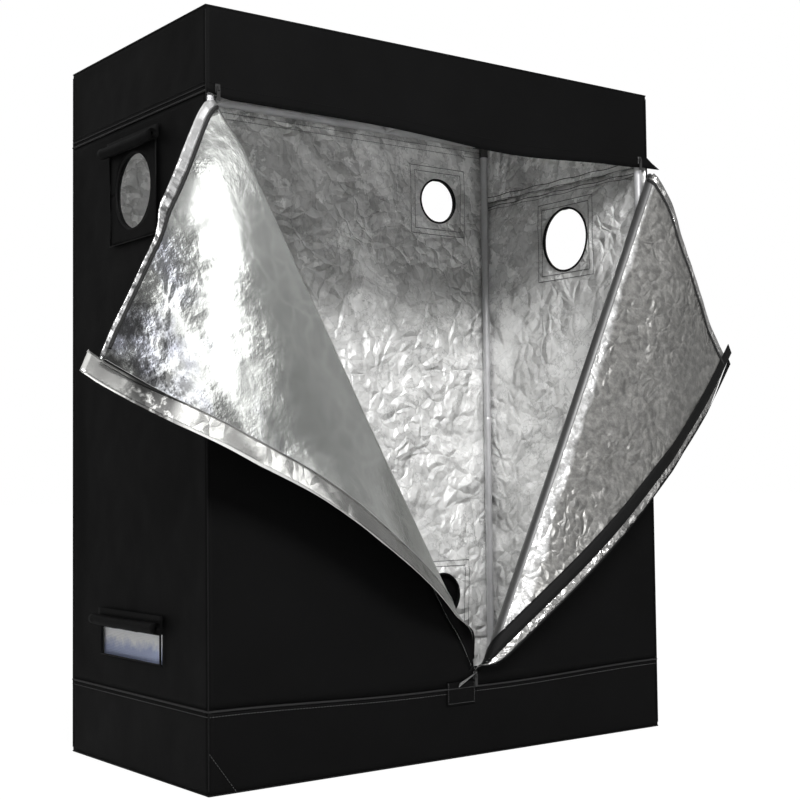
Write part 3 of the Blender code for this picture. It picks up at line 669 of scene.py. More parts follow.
# The wall that each port is in, the radius of its hole, and half the side of its patch.
PORTS = {
    "left": ("left", 0.0785, 0.105),
    "right": ("right", 0.0785, 0.105),
    "back_upper": ("back", 0.056, 0.095),
    "back_lower": ("back", 0.056, 0.095),
}
port_places = {name: middle(f"port_frame_{name}") for name in PORTS}
print("ports", {name: rounded(place) for name, place in port_places.items()})


# %% Side, back, roof and floor panels
def panel(name, node, grid, shape):
    """A panel of the tent's cover: black outside, foil inside, stretched between its seams."""
    piece = cloth(name, grid, shape, OXFORD, LINING)
    belongs(piece, "black_oxford", node)
    return piece


def side_wall(side, sign):
    def shape(u, v):
        slack = held(u, -HALF_Y, HALF_Y, 0.06) * held(v, skirt_top, crown_low, 0.05)
        inward = SLACK * slack * (creased(u, v, 4.0 + sign, 0.17) + 1.0)
        inward += 0.0016 * slack * pressed(v, (0.46, 0.77, 1.04), 5.0 + sign, u)
        return Vector((sign * (HALF_X - inward), sign * u, v))

    grid = square_grid(-HALF_Y, HALF_Y, skirt_top, crown_low, STEP)
    return panel(f"{side}_wall", f"wall_{side}", grid, shape)


def back_wall():
    high = TOP - 0.002

    def shape(u, v):
        slack = held(u, -HALF_X, HALF_X, 0.08) * held(v, skirt_top, high, 0.15)
        inward = BACK_SLACK * slack * (creased(u, v, 9.0, 0.17) + 1.0)
        inward += 0.0035 * slack * pressed(v, (0.34, 0.53, 0.83, 1.133), 3.0, u)
        return Vector((-u, HALF_Y - inward, v))

    grid = square_grid(-HALF_X + 0.002, HALF_X - 0.002, skirt_top, high, STEP)
    return panel("back_wall", "wall_back", grid, shape)


def port_cutters(side):
    axis = (0, 1, 0) if side == "back" else (1, 0, 0)
    ports = [(name, hole) for name, (wall, hole, _) in PORTS.items() if wall == side]
    return [round_cutter(port_places[name], axis, hole) for name, hole in ports]


left_wall, right_wall, rear_wall = side_wall("left", -1), side_wall("right", 1), back_wall()
window_low, window_high = Vector((-0.65, -0.11, 0.226)), Vector((-0.55, 0.155, 0.285))
cut(left_wall, port_cutters("left") + [box_cutter(window_low, window_high)])
cut(right_wall, port_cutters("right"))
cut(rear_wall, port_cutters("back"))
print("walls", [len(w.data.polygons) for w in (left_wall, right_wall, rear_wall)])


# %% Roof and floor
def level_panel(name, node, height, facing):
    def shape(u, v):
        slack = held(u, -HALF_X, HALF_X, 0.08) * held(v, -HALF_Y, HALF_Y, 0.08)
        drop = 0.0025 * slack * (creased(u, v, 15.0, 0.2) + 1.0) if facing > 0 else 0.0
        return Vector((u, facing * v, height - facing * drop))

    grid = square_grid(-HALF_X, HALF_X, -HALF_Y, HALF_Y, 0.02)
    return panel(name, node, grid, shape)


roof = level_panel("roof", "roof_panel", TOP, 1)
floor_cloth = level_panel("floor_cloth", "floor_panel", 0.0, -1)
print("roof and floor", roof.name, floor_cloth.name)

# %% [markdown]
# ## Crown and skirt
#
# The crown runs round the front and sides above the welt, and the skirt runs round the bottom. Both
# are one strip of cloth bent round the corners. The crown's front edge hangs free where the door
# is unzipped, so it dips in the middle.


# %% Strips round the corners
def along_sides(distance, closed):
    """A point on the tent's outline in plan, and its outward direction, from the back left corner."""
    runs = [
        (Vector((-HALF_X, HALF_Y)), Vector((0, -1)), 2 * HALF_Y, Vector((-1, 0))),
        (Vector((-HALF_X, -HALF_Y)), Vector((1, 0)), 2 * HALF_X, Vector((0, -1))),
        (Vector((HALF_X, -HALF_Y)), Vector((0, 1)), 2 * HALF_Y, Vector((1, 0))),
    ]
    if closed:
        runs.append((Vector((HALF_X, HALF_Y)), Vector((-1, 0)), 2 * HALF_X, Vector((0, 1))))
    for start, along, length, outward in runs:
        if distance <= length + 1e-9:
            return start + along * distance, outward
        distance -= length
    start, along, length, outward = runs[-1]
    return start + along * length, outward


def strip_grid(length, low, high, step):
    stops = [2 * HALF_Y, 2 * HALF_Y + 2 * HALF_X, 4 * HALF_Y + 2 * HALF_X, length]
    places, start = [], 0.0
    for stop in sorted(set(stop for stop in stops if stop <= length + 1e-9)):
        places += steps(start, stop, step)[:-1]
        start = stop
    places.append(length)
    return [[(u, v) for u in places] for v in steps(low, high, step)]


def door_dip(x):
    """How far the crown's free front edge hangs down at x."""
    return (0.018 * math.exp(-(((x - 0.17) / 0.24) ** 2)) + 0.009) * held(x, -HALF_X, HALF_X, 0.05)


def skirt_dip(x):
    """How far the seam above the skirt's front hangs down at x."""
    return 0.012 * held(x, -HALF_X, HALF_X, 0.5)


FRONT_RIGHT = 2 * HALF_Y + 2 * HALF_X
CORNERS = [0.0, 2 * HALF_Y, FRONT_RIGHT, FRONT_RIGHT + 2 * HALF_Y, FRONT_RIGHT + 2 * HALF_Y + 2 * HALF_X]


def strip_slack(u, v, low, high, seed):
    slack = 0.0022 * held(v, low, high, 0.03) * (creased(u, v, seed, 0.16) + 0.8)
    for corner in CORNERS:
        slack *= ease(abs(u - corner) / 0.05)
    return slack


def crown_shape(u, v):
    place, outward = along_sides(u, False)
    share = (TOP - v) / (TOP - crown_low)
    if outward.y < 0:
        v -= door_dip(place.x) * share * share
    slack = strip_slack(u, v, crown_low, TOP, 21.0)
    # The front right corner stands out a little, where the crown hangs free beside the door's end.
    lip = 0.034 * ease(1.0 - abs(u - FRONT_RIGHT + 0.004) / 0.035) * ease(1.0 - (v - crown_low) / 0.018)
    x, y = place.x - outward.x * slack + lip, place.y - outward.y * slack - lip * 0.3
    return Vector((x, y, v - lip * 0.25))


def skirt_shape(u, v):
    place, outward = along_sides(u, True)
    if outward.y < 0:
        v -= skirt_dip(place.x) * ease(v / skirt_top)
    slack = strip_slack(u, v, 0.0, skirt_top, 27.0)
    return Vector((place.x - outward.x * slack, place.y - outward.y * slack, v))


crown_length, skirt_length = 2 * HALF_X + 4 * HALF_Y, 4 * HALF_X + 4 * HALF_Y
crown = panel(
    "crown", "crown_band", strip_grid(crown_length, crown_low, TOP - 0.001, 0.01), crown_shape,
)
skirt = panel(
    "skirt", "skirt_band", strip_grid(skirt_length, 0.001, skirt_top, 0.014), skirt_shape,
)
print("strips", len(crown.data.polygons), len(skirt.data.polygons))

# %% [markdown]
# ## The folded door halves
#
# Each half folds outward along a slanting line. Its cloth turns round the fold on a small radius,
# lies back over the front, and droops where it passes the tent's side. The same sums place the
# packed flap, so the cloth lies where the model's flap is. The distance runs down the fold, and the
# width runs across the half towards the zip.
#
# The two free edges aren't quite straight on the real cloth, because its wrinkles draw them in. So
# each edge has a few knots: how far along it, and how far in from the straight line.


# %% One half of the door
ZIP_X = 0.045
FOLD_TOP_X, FOLD_FOOT_Z = 0.592, 0.172
FOLD_TOP_Z, DOOR_TOP_Z = crown_low - 0.0053, crown_low - 0.0183
CLOTH_Y = -HALF_Y + 0.001


class DoorHalf:
    """Where the cloth of one door half lies when it is folded open."""

    radius, reach, slack = 0.016, 0.33, 0.012

    def __init__(self, side, sign, open_deg, twist_deg, droop, unfold, bow, seed, trims):
        self.side, self.sign, self.seed, self.trims = side, sign, seed, trims
        self.droop, self.unfold, self.bow = droop, unfold, bow
        self.open_angle, self.twist = math.radians(open_deg), math.radians(twist_deg)
        self.top = Vector((sign * FOLD_TOP_X, CLOTH_Y, FOLD_TOP_Z))
        self.bottom = Vector((ZIP_X, CLOTH_Y, FOLD_FOOT_Z))
        self.length = (self.bottom - self.top).length
        self.along = (self.bottom - self.top) / self.length
        self.outward = Vector((0.0, -1.0, 0.0))
        self.across = self.outward.cross(self.along) * -sign
        corner = Vector((ZIP_X + sign * 0.00125, CLOTH_Y, DOOR_TOP_Z)) - self.top
        self.corner_along, self.corner_across = corner.dot(self.along), corner.dot(self.across)
        self.start = (self.top.z - DOOR_TOP_Z) / -self.along.z
        self.turn_depth = 0.0255 if sign < 0 else 0.0314

    def angle(self, distance):
        """How far the cloth has turned round the fold. It turns less near the foot."""
        left = self.length - distance
        return (self.open_angle - self.twist * ease(1.0 - left / 0.7)) * ease(left / self.unfold)

    def half_wrap(self, distance):
        """Half the width of cloth that lies round the fold."""
        return self.radius * self.angle(distance) / 2

    def trim(self, edge, length):
        """How far a free edge is drawn in, so far along it."""
        return through(self.trims[edge], length / self.edge_length(edge))

    def far_edge(self, distance):
        """How wide the cloth is at a distance, between its two drawn-in edges."""
        widths = []
        for edge in ("top", "centre"):
            start_width, start_distance = self.spot(edge, 0.0, -self.trim(edge, 0.0))
            end_width, end_distance = self.spot(edge, 1.0, -self.trim(edge, 1.0))
            rise, run = end_width - start_width, end_distance - start_distance
            length = (distance - start_distance) / run
            # A few rounds settle on the place where the drawn-in edge crosses this distance.
            for _ in range(4):
                length = (distance - start_distance + rise * -self.trim(edge, length)) / run
            widths.append(start_width + rise * length - run * self.trim(edge, length))
        return min(widths)

    def bare(self, distance, width):
        """The smooth cloth, before its creases."""
        angle = self.angle(distance)
        wrap = self.radius * angle
        travel = max(width + wrap / 2, 0.0)
        if travel < wrap:
            turn = travel / self.radius
            across, out = self.radius * math.sin(turn), self.radius * (1 - math.cos(turn))
        else:
            rest = travel - wrap
            across = self.radius * math.sin(angle) + rest * math.cos(angle)
            out = self.radius * (1 - math.cos(angle)) + rest * math.sin(angle)
            bulge = self.slack * min(max(distance, 0.0) / self.corner_along, 1.0)
            out += bulge * math.sin(math.pi * min(rest / self.reach, 1.0))
        depth, power = self.droop
        across += self.bow * held(distance, self.start, self.length, 0.12) - wrap / 2
        place = self.top + self.along * distance + self.across * across + self.outward * out
        place.y += depth * (max(abs(place.x) - HALF_X, 0.0) / self.reach) ** power
        return place

    def spot(self, edge, length, inset):
        """A place (width, distance) on the flat cloth: so far along an edge, and so far in from it."""
        corner = Vector((self.corner_along, self.corner_across))
        first, last = Vector((self.start, 0.0)), corner
        if edge == "centre":
            first, last = corner, Vector((self.length, 0.0))
        along = (last - first).normalized()
        place = first + along * length + Vector((along.y, -along.x)) * (inset + self.trim(edge, length))
        return place.y, place.x

    def edge_length(self, edge):
        first = self.start if edge == "top" else self.length
        return math.hypot(self.corner_along - first, self.corner_across)

    def inset(self, distance, width):
        """How far a place on the flat cloth is in from the nearer free edge."""
        insets = []
        for edge in ("top", "centre"):
            w0, d0 = self.spot(edge, 0.0, 0.0)
            w1, d1 = self.spot(edge, 0.0, 1.0)
            insets.append((distance - d0) * (d1 - d0) + (width - w0) * (w1 - w0))
        return min(insets)

    def crease(self, distance, width):
        """Creases grow away from the fold, where the cloth is tight, and end at the sewn edges."""
        grow = ease((width - 0.03) / 0.12) * ease((self.inset(distance, width) - 0.012) / 0.05)
        depth, size = (0.0025, 0.28) if self.sign < 0 else (0.004, 0.2)
        return depth * grow * creased(width, distance, self.seed, size)

    def at(self, distance, width, lift=0.0):
        """A place on the cloth, lifted off its foil side."""
        place = self.bare(distance, width)
        down = self.bare(distance + 0.002, width) - place
        over = self.bare(distance, width + 0.002) - place
        normal = (over.cross(down) * -self.sign).normalized()
        return place + normal * (self.crease(distance, width) + lift)

    def bends(self, piece):
        """Bakes a piece's place into its mesh; the fold's lean and edge are worked out but not used."""
        outboard = Vector((self.across.x, 0.0, self.across.z)) * -1.0
        lean = self.outward if self.sign < 0 else (self.outward + outboard * 0.2).normalized()
        edge = self.bare(self.length / 2, -self.half_wrap(self.length / 2))
        edge + lean * self.turn_depth
        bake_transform(piece)


LEFT_TRIMS = {
    "top": [(0.0, 0.0), (0.12, -0.01), (0.9, -0.01), (1.0, -0.006)],
    "centre": [(0.0, -0.02), (0.2, 0.0), (0.45, 0.044), (0.7, 0.032), (0.88, 0.031), (1.0, 0.0)],
}
RIGHT_TRIMS = {
    "top": [(0.0, 0.0), (0.2, -0.003), (0.35, 0.022), (0.7, 0.051), (1.0, 0.036)],
    "centre": [(0.0, -0.004), (0.2, -0.01), (0.8, 0.0), (1.0, 0.0)],
}
left_half = DoorHalf(
    "left", -1, open_deg=163.0, twist_deg=32.0, droop=(0.045, 2.0), unfold=0.165, bow=0.014,
    seed=31.0, trims=LEFT_TRIMS,
)
right_half = DoorHalf(
    "right", 1, open_deg=176.0, twist_deg=24.0, droop=(0.1, 1.3), unfold=0.03, bow=0.0,
    seed=37.0, trims=RIGHT_TRIMS,
)
print("folds", round(left_half.length, 3), round(right_half.length, 3))


# %% The two door cloths
def door_cloth(half, lining):
    rows, roll_columns, flap_columns = 112, 10, 52
    grid = []
    for distance in spread(half.start + 0.002, half.length - 0.004, rows):
        near = half.half_wrap(distance)
        far = max(half.far_edge(distance), -near + 0.004)
        if far <= near:
            widths = spread(-near, far, roll_columns + flap_columns)
        else:
            widths = spread(-near, near, roll_columns)[:-1] + spread(near, far, flap_columns)
        grid.append([(width, distance) for width in widths])
    piece = cloth(f"door_half_{half.side}", grid, lambda w, d: half.at(d, w), lining, OXFORD)
    if half.sign > 0:
        piece.data.flip_normals()
    settle(piece)
    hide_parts(f"door_flap_{half.side}", f"door_fold_{half.side}")
    half.bends(piece)
    return piece


left_cloth, right_cloth = door_cloth(left_half, LEFT_FOIL), door_cloth(right_half, SHADED_RIGHT_FOIL)
print("door cloth", [len(c.data.polygons) for c in (left_cloth, right_cloth)])


# %% The front cloth that stays up
def front_cloth(half):
    low, high = skirt_top, half.top.z + 0.004

    def fold_edge(z):
        distance = (half.top.z - z) / -half.along.z
        distance = min(max(distance, 0.0), half.length)
        return half.bare(distance, -half.half_wrap(distance)).x

    def shape(u, v):
        slack = 0.0025 * held(v, low, high, 0.1) * (creased(u, v, half.seed + 3.0, 0.18) + 0.6)
        slack *= ease((HALF_X - abs(u)) / 0.05) * ease(abs(u - fold_edge(v)) / 0.05)
        return Vector((u, -HALF_Y + slack, v - skirt_dip(u) * ease((0.175 - v) / 0.015)))

    rows, columns, grid = 80, 44, []
    for z in spread(low, high, rows):
        edge_x = fold_edge(z)
        if abs(edge_x) > HALF_X - 0.002:
            edge_x = half.sign * (HALF_X - 0.002)
        ends = sorted((half.sign * HALF_X, edge_x))
        grid.append([(x, z) for x in spread(ends[0], ends[1], columns)])
    piece = cloth(f"front_cloth_{half.side}", grid, shape, OXFORD, LINING)
    belongs(piece, "black_oxford", f"front_panel_{half.side}")
    width, tall = abs(half.sign * HALF_X - ZIP_X), high - low
    width * tall * 0.55
    return piece


left_front, right_front = front_cloth(left_half), front_cloth(right_half)
print("front cloth", left_front.name, right_front.name)

# %% [markdown]
# ## Cords, welts and stitches
#
# Seams are welted: a thin cord is sewn into the edge and stands out as a line. A bevelled curve is
# the plain way to make one. Stitches are many short beads along the same sort of path.


# %% Lines along a path
def welt(name, points, radius, finish, body="tent", closed=False):
    """A thin round cord along a path."""
    line = bpy.data.curves.new(name, "CURVE")
    line.dimensions = "3D"
    line.bevel_depth = radius
    line.bevel_resolution = 2
    line.use_fill_caps = True
    spline = line.splines.new("POLY")
    spline.points.add(len(points) - 1)
    for point, place in zip(spline.points, points):
        point.co = (*place, 1.0)
    spline.use_cyclic_u = closed
    line.materials.append(finish)
    piece = add(name, line)
    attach(piece, body)
    return piece


def stitches(name, points, body="tent", finish=None, pitch=0.007, bead=0.0045, thick=0.0006):
    """A row of short beads laid along a path."""
    mesh = bpy.data.meshes.new(name)
    shape = bmesh.new()
    left = 0.0
    for start, end in zip(points, points[1:]):
        start, end = Vector(start), Vector(end)
        length = (end - start).length
        if length < 1e-9:
            continue
        along = (end - start) / length
        while left < length:
            centre = start + along * left
            turned = Matrix.Translation(centre) @ along.to_track_quat("Z", "Y").to_matrix().to_4x4()
            bmesh.ops.create_cone(
                shape, cap_ends=True, segments=4, radius1=thick, radius2=thick, depth=bead, matrix=turned
            )
            left += pitch
        left -= length
    shape.to_mesh(mesh)
    shape.free()
    mesh.materials.append(finish or THREAD)
    piece = add(name, mesh)
    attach(piece, body)
    return piece


def run_of(shape, first, last, height, out=0.0008, count=120):
    """Points along a strip at one height, from one place on the outline to another."""
    path = []
    for u in spread(first, last, count):
        _, outward = along_sides(min(max(u, first + 1e-6), last - 1e-6), True)
        path.append(shape(u, height) + Vector((outward.x, outward.y, 0.0)) * out)
    return path


welt("crown_welt_left", run_of(crown_shape, 0.0, CORNERS[1], crown_low + 0.002), 0.0021, SEAM)
welt("crown_welt_right", run_of(crown_shape, CORNERS[2] + 0.006, CORNERS[3], crown_low + 0.002), 0.0021, SEAM)
welt("crown_cord_left", run_of(crown_shape, 0.0, CORNERS[1], crown_low + 0.012), 0.0012, SEAM)
welt("skirt_welt", run_of(skirt_shape, 0.0, skirt_length, skirt_top - 0.0032, 0.0008, 480), 0.002, SEAM)
crown_row = run_of(crown_shape, 0.0, crown_length, crown_low + 0.02, 0.0006, 400)
stitches("crown_stitches", crown_row, finish=TRIM)
stitches("skirt_stitches", run_of(skirt_shape, 0.0, skirt_length, skirt_top - 0.013, 0.0006, 500))
for side, x in (("left", -HALF_X), ("right", HALF_X)):
    for face, y in (("front", -HALF_Y), ("back", HALF_Y)):
        welt(f"corner_seam_{face}_{side}", [(x, y, z / 100) for z in range(1, 150)], 0.0014, TRIM)
outline = corners((-HALF_X, -HALF_Y), (HALF_X, HALF_Y))
welt("roof_seam", [(x, y, TOP - 0.0016) for x, y in outline], 0.0016, TRIM, closed=True)
welt("floor_seam", [(x, y, 0.0016) for x, y in outline], 0.0016, TRIM, closed=True)
gusset = [(-HALF_X + 0.002, -HALF_Y - 0.0004, 0.078), (-HALF_X + 0.058, -HALF_Y - 0.0004, 0.004)]
stitches("gusset_stitches", gusset)
print("seams sewn")

# %% [markdown]
# ## Seams inside
#
# The lining shows where everything is sewn on: two stitched squares and a bound ring round each
# port, and the bands of seams under the crown and the roof. The walls' slack would hide a flat
# square, so a ray is cast at the wall for each point of it, and the point is put where the ray hits.


# %% Lines on the lining
def inner_wall_point(wall, along, height, off=0.0036):
    """A point just inside a wall, so far along it and so high."""
    if wall == "back":
        return Vector((along, HALF_Y - off, height))
    sign = -1 if wall == "left" else 1
    return Vector((sign * (HALF_X - off), along, height))


now = bpy.context.evaluated_depsgraph_get()
walls = {"left": left_wall, "right": right_wall, "back": rear_wall}
linings = {side: BVHTree.FromObject(wall, now) for side, wall in walls.items()}


def on_lining(wall, along, height, lift=0.0006):
    """The point of a wall's lining at this place, a little inside it."""
    start = inner_wall_point(wall, along, height, 0.08)
    outward = (inner_wall_point(wall, along, height, 0.0) - start).normalized()
    hit = linings[wall].ray_cast(start, outward)[0]
    return (hit or inner_wall_point(wall, along, height)) - outward * lift


def port_line(wall, centre, reach, square, count=96):
    """A closed square or round path about a port, laid on the lining."""
    along, height = (centre.x, centre.z) if wall == "back" else (centre.y, centre.z)
    path = []
    for n in range(count + 1):
        c, s = math.cos(math.tau * n / count), math.sin(math.tau * n / count)
        size = reach / max(abs(c), abs(s)) if square else reach
        path.append(on_lining(wall, along + size * c, height + size * s))
    return path


for name, (wall, hole, half) in PORTS.items():
    for row, inset in (("outer", 0.005), ("inner", 0.019)):
        path = port_line(wall, port_places[name], half - inset, True)
        stitches(f"port_square_{name}_{row}", path, "tent", None, 0.0052, 0.0046, 0.0008)
    round_path = port_line(wall, port_places[name], hole + 0.0012, False, 72)[:-1]
    welt(f"port_ring_{name}", round_path, 0.0026, TRIM, closed=True)
print("ports sewn", len(PORTS))


# %% The seams under the crown and the roof
TUCK_HEIGHTS = (1.31, 1.318, 1.331, 1.345)
ROOF_ROW_HEIGHTS = (1.452, 1.467)
for number, height in enumerate(TUCK_HEIGHTS):
    for wall in ("left", "right"):
        path = []
        for n, along in enumerate(spread(-HALF_Y, HALF_Y, 40)[1:-1], 1):
            wander = 0.0015 * math.sin(n * 0.9 + number)
            path.append(inner_wall_point(wall, along, height + wander, 0.0025))
        welt(f"crown_tuck_{wall}_{number}", path, 0.0009 if number % 2 else 0.0006, SEAM)
for number, height in enumerate(ROOF_ROW_HEIGHTS):
    path = [inner_wall_point("back", along, height, 0.003) for along in spread(-HALF_X, HALF_X, 60)[1:-1]]
    stitches(f"roof_stitches_{number}", path, "tent", None, 0.006, 0.0045, 0.0007)
print("inside seams sewn")

# %% [markdown]
# ## Door tapes and hems
#
# The edges of each half carry the zip's tape, a silver storm strip and a hem. Each is a ribbon that
# is laid on the flat cloth at a distance from the edge, so that it follows every fold the cloth
# makes.


def door_ribbon(half, name, edge, run, insets, finish, lift=0.0016, ripple=0.0, columns=4, shift=None):
    """A ribbon between two insets, over a run of lengths along one edge. The shift slides and lifts it."""
    whole = half.edge_length(edge)
    grid, places = [], {}
    for length in steps(run[0], run[1], 0.011):
        row = []
        for c, inset in enumerate(spread(insets[0], insets[1], columns)):
            slid, raised = shift(length / whole, 1.0 - c / columns) if shift else (0.0, 0.0)
            width, distance = half.spot(edge, length, inset + slid)
            wave = ripple * creased(length, inset * 2.0, half.seed + 11.0, 0.05)
            flat = (inset, length)
            places[flat] = half.at(distance, width, lift + wave + raised)
            row.append(flat)
        grid.append(row)
    piece = cloth(f"{name}_{half.side}", grid, lambda u, v: places[(u, v)], finish, OXFORD, 0.0008)
    if half.sign < 0:
        piece.data.flip_normals()
    settle(piece)
    half.bends(piece)
    return piece


# %% The trims of each half
def door_trims(half):
    """Makes a half's ribbons. The four functions shift them, by the share along the edge."""
    top, centre = half.edge_length("top"), half.edge_length("centre")

    def hem_drop(share, outer):
        return -0.029 * (1.0 - ease(share / 0.27)), 0.011 * outer * (1.0 - ease(share / 0.17))

    def narrow_at_tip(share, outer):
        return 0.019 * outer * (1.0 - ease(share / 0.2) + ease((share - 0.93) / 0.09)), 0.0

    def wide_above(share, outer):
        return -(0.008 + 0.012 * outer) * ease((0.6 - share) / 0.12) * ease(share / 0.06), 0.0

    def closer_above(share, _):
        return wide_above(share, 0.0)

    if half.side == "left":
        return [
            door_ribbon(
                half, "top_zip_tape", "top", (0.02, top - 0.02), (0.0058, 0.0125), TAPE,
                lift=0.0022, columns=1, shift=closer_above,
            ),
            door_ribbon(
                half, "top_storm_strip", "top", (0.015, top + 0.002), (-0.002, 0.006), BRIGHT_STRIP,
                ripple=0.0016, shift=wide_above,
            ),
            door_ribbon(
                half, "centre_hem", "centre", (-0.03, centre - 0.03), (-0.004, 0.042), HEM_FOIL,
                lift=0.0014, ripple=0.0012, columns=6, shift=hem_drop,
            ),
            door_ribbon(
                half, "centre_hem_stitches", "centre", (0.0, centre - 0.04), (0.0405, 0.0417), HEM_THREAD,
                lift=0.0024, columns=1, shift=hem_drop,
            ),
        ]
    return [
        door_ribbon(
            half, "top_zip_tape", "top", (0.012, top - 0.004), (0.014, 0.021), TAPE,
            lift=0.0026, columns=2,
        ),
        door_ribbon(
            half, "top_storm_strip", "top", (0.012, top + 0.004), (-0.004, 0.014), STORM_STRIP,
            ripple=0.001,
        ),
        door_ribbon(
            half, "centre_tape", "centre", (-0.006, centre + 0.008), (0.0, 0.028), TRIM,
            lift=0.0022, columns=3,
        ),
        door_ribbon(
            half, "centre_storm_strip", "centre", (0.02, centre + 0.006), (-0.016, 0.006), STORM_STRIP,
            lift=0.001, ripple=0.0016, shift=narrow_at_tip,
        ),
        door_ribbon(
            half, "centre_binding", "centre", (0.02, centre + 0.006), (-0.019, -0.0155), TRIM,
            lift=0.0015, columns=1, shift=narrow_at_tip,
        ),
    ]


BEYOND_FOLD = 0.05
for half, piece in ((left_half, left_cloth), (right_half, right_cloth)):
    trims = door_trims(half)
    area = half.corner_across * half.length / 2 + BEYOND_FOLD * half.length * 0.6
    half.corner_across + BEYOND_FOLD
    print(half.side, "door trims", [trim.name for trim in trims])

# %% [markdown]
# ## Ports and the vent
#
# A duct port is a round hole with a bound, elastic edge, in a square patch sewn on the outside. Its
# cover is a square of cloth that rolls up and stays above the hole. The vent is the same idea with
# a net. A roll is a flat cloth wound in a spiral, so that is how it is made here.


# %% Patches and cuffs
def turned_out(wall, along, out, up, centre):
    """A point beside a wall: along it, out of the tent and up, from a port's centre."""
    if wall == "back":
        return Vector((centre.x + along, HALF_Y + out, centre.z + up))
    sign = -1 if wall == "left" else 1
    return Vector((sign * (HALF_X + out), centre.y + along, centre.z + up))


def port_patch(name):
    wall, hole, half = PORTS[name]
    radius, centre = hole + 0.001, port_places[name]
    rings, spokes = 5, 64
    grid = []
    for r in range(rings + 1):
        row = []
        for s in range(spokes + 1):
            angle = math.tau * s / spokes
            c, d = math.cos(angle), math.sin(angle)
            square = half / max(abs(c), abs(d))
            reach = radius + (square - radius) * r / rings
            row.append((reach * c, reach * d))
        grid.append(row)

    def shape(u, v):
        puff = 0.0012 * creased(u, v, 41.0, 0.08)
        return turned_out(wall, u, 0.0018 + max(puff, -0.001), v, centre)

    piece = cloth(f"port_patch_{name}", grid, shape, OXFORD, OXFORD)
    belongs(piece, "black_oxford", f"port_frame_{name}")
    edge = [turned_out(wall, a, 0.0028, b, centre) for a, b in corners((-half, -half), (half, half))]
    border = welt(f"port_border_{name}", edge, 0.0017, TRIM, closed=True)
    bound = radius + 0.001
    turns = [math.tau * n / 72 for n in range(72)]
    cuff = [turned_out(wall, bound * math.cos(t), -0.0012, bound * math.sin(t), centre) for t in turns]
    ring = welt(f"port_cuff_{name}", cuff, 0.0031, TRIM, closed=True)
    size = 2 * half
    size * size - math.pi * radius**2


for name in PORTS:
    port_patch(name)
print("patches sewn", [f"port_patch_{name}" for name in PORTS])


# %% Rolled covers
def rolled(name, wall, node):
    """A rolled-up cover: a spiral of cloth under a short sewn tab."""
    low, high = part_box(node)
    width = (high - low).x if wall == "back" else (high - low).y
    outer, turns, per_turn, layer = 0.0122, 3.2, 20, 0.0028
    face, tab = 0.0028, 0.0125
    sewn_at = middle(node)
    sewn_at.z = low.z + tab
    profile = [(face, high.z - low.z - tab), (face, 0.011)]
    for n in range(round(turns * per_turn) + 1):
        angle = math.tau * n / per_turn
        radius = outer - layer * n / per_turn
        profile.append((face + outer - radius * math.cos(angle), -radius * math.sin(angle)))
    lengths = [0.0]
    for first, last in zip(profile, profile[1:]):
        lengths.append(lengths[-1] + math.dist(first, last))
    columns = max(10, round(width / 0.012))
    grid = [[(width * (c / columns - 0.5), length) for c in range(columns + 1)] for length in lengths]
    at = {round(length, 7): spot for length, spot in zip(lengths, profile)}

    def shape(u, v):
        out, up = at[round(v, 7)]
        wrapped = ease(v / 0.03)
        sag = -0.0018 * (1.0 - (2 * u / width) ** 2) * wrapped
        lump = 0.0011 * noise.noise(Vector((u * 38.0, v * 14.0, len(name)))) * wrapped
        return turned_out(wall, u, out + abs(lump) * 0.6, up + sag + lump, sewn_at)

    piece = cloth(name, grid, shape, OXFORD, OXFORD, 0.001, 0.0)
    settle(piece)
    belongs(piece, "black_oxford", node)
    print(name, "unrolls to", round(lengths[-1], 3))


for name in ("left", "right", "back_upper"):
    rolled(f"rolled_cover_{name}", PORTS[name][0], f"port_cover_{name}")
rolled("rolled_vent_cover", "left", "vent_cover")


# %% The vent's net and border, and the low port's cover
NET_DEPTH = 0.009


def vent_net_cloth():
    low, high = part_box("vent_net")

    def shape(u, v):
        slack = held(u, low.y, high.y, 0.06) * held(v, low.z, high.z, 0.03)
        belly = 0.004 * slack * (creased(u, v, 51.0, 0.05) + 1.2)
        return Vector((-HALF_X + NET_DEPTH - belly * 0.5, -u, v))

    grid = square_grid(-high.y, -low.y, low.z, high.z, 0.006)
    piece = cloth("vent_net_cloth", grid, shape, NET, NET, 0.0005)
    belongs(piece, "vent_net", "vent_net")
    edge = [(-HALF_X - 0.0008, y, z) for y, z in corners(window_low.yz, window_high.yz)]
    welt("vent_border", edge, 0.0024, TRIM, closed=True)


def hanging_cover():
    low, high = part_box("port_cover_back_lower")

    def shape(u, v):
        free = ease((high.z - v) / 0.15)
        return Vector((-u, low.y + 0.0012 + 0.003 * free * max(creased(u, v, 57.0, 0.09), -0.2), v))

    grid = square_grid(-high.x, -low.x, low.z, high.z, 0.008)
    piece = cloth("low_port_cover_cloth", grid, shape, OXFORD, OXFORD, 0.001)
    belongs(piece, "black_oxford", "port_cover_back_lower", body="low_port_cover")


vent_net_cloth()
hanging_cover()
print("vent and low cover made")

# %% [markdown]
# ## The floor tray and the zip's tab
#
# The tray is one sheet with its edges turned up, and lies loose on the floor. The tab is a small
# double of cloth over the lower end of the zip.


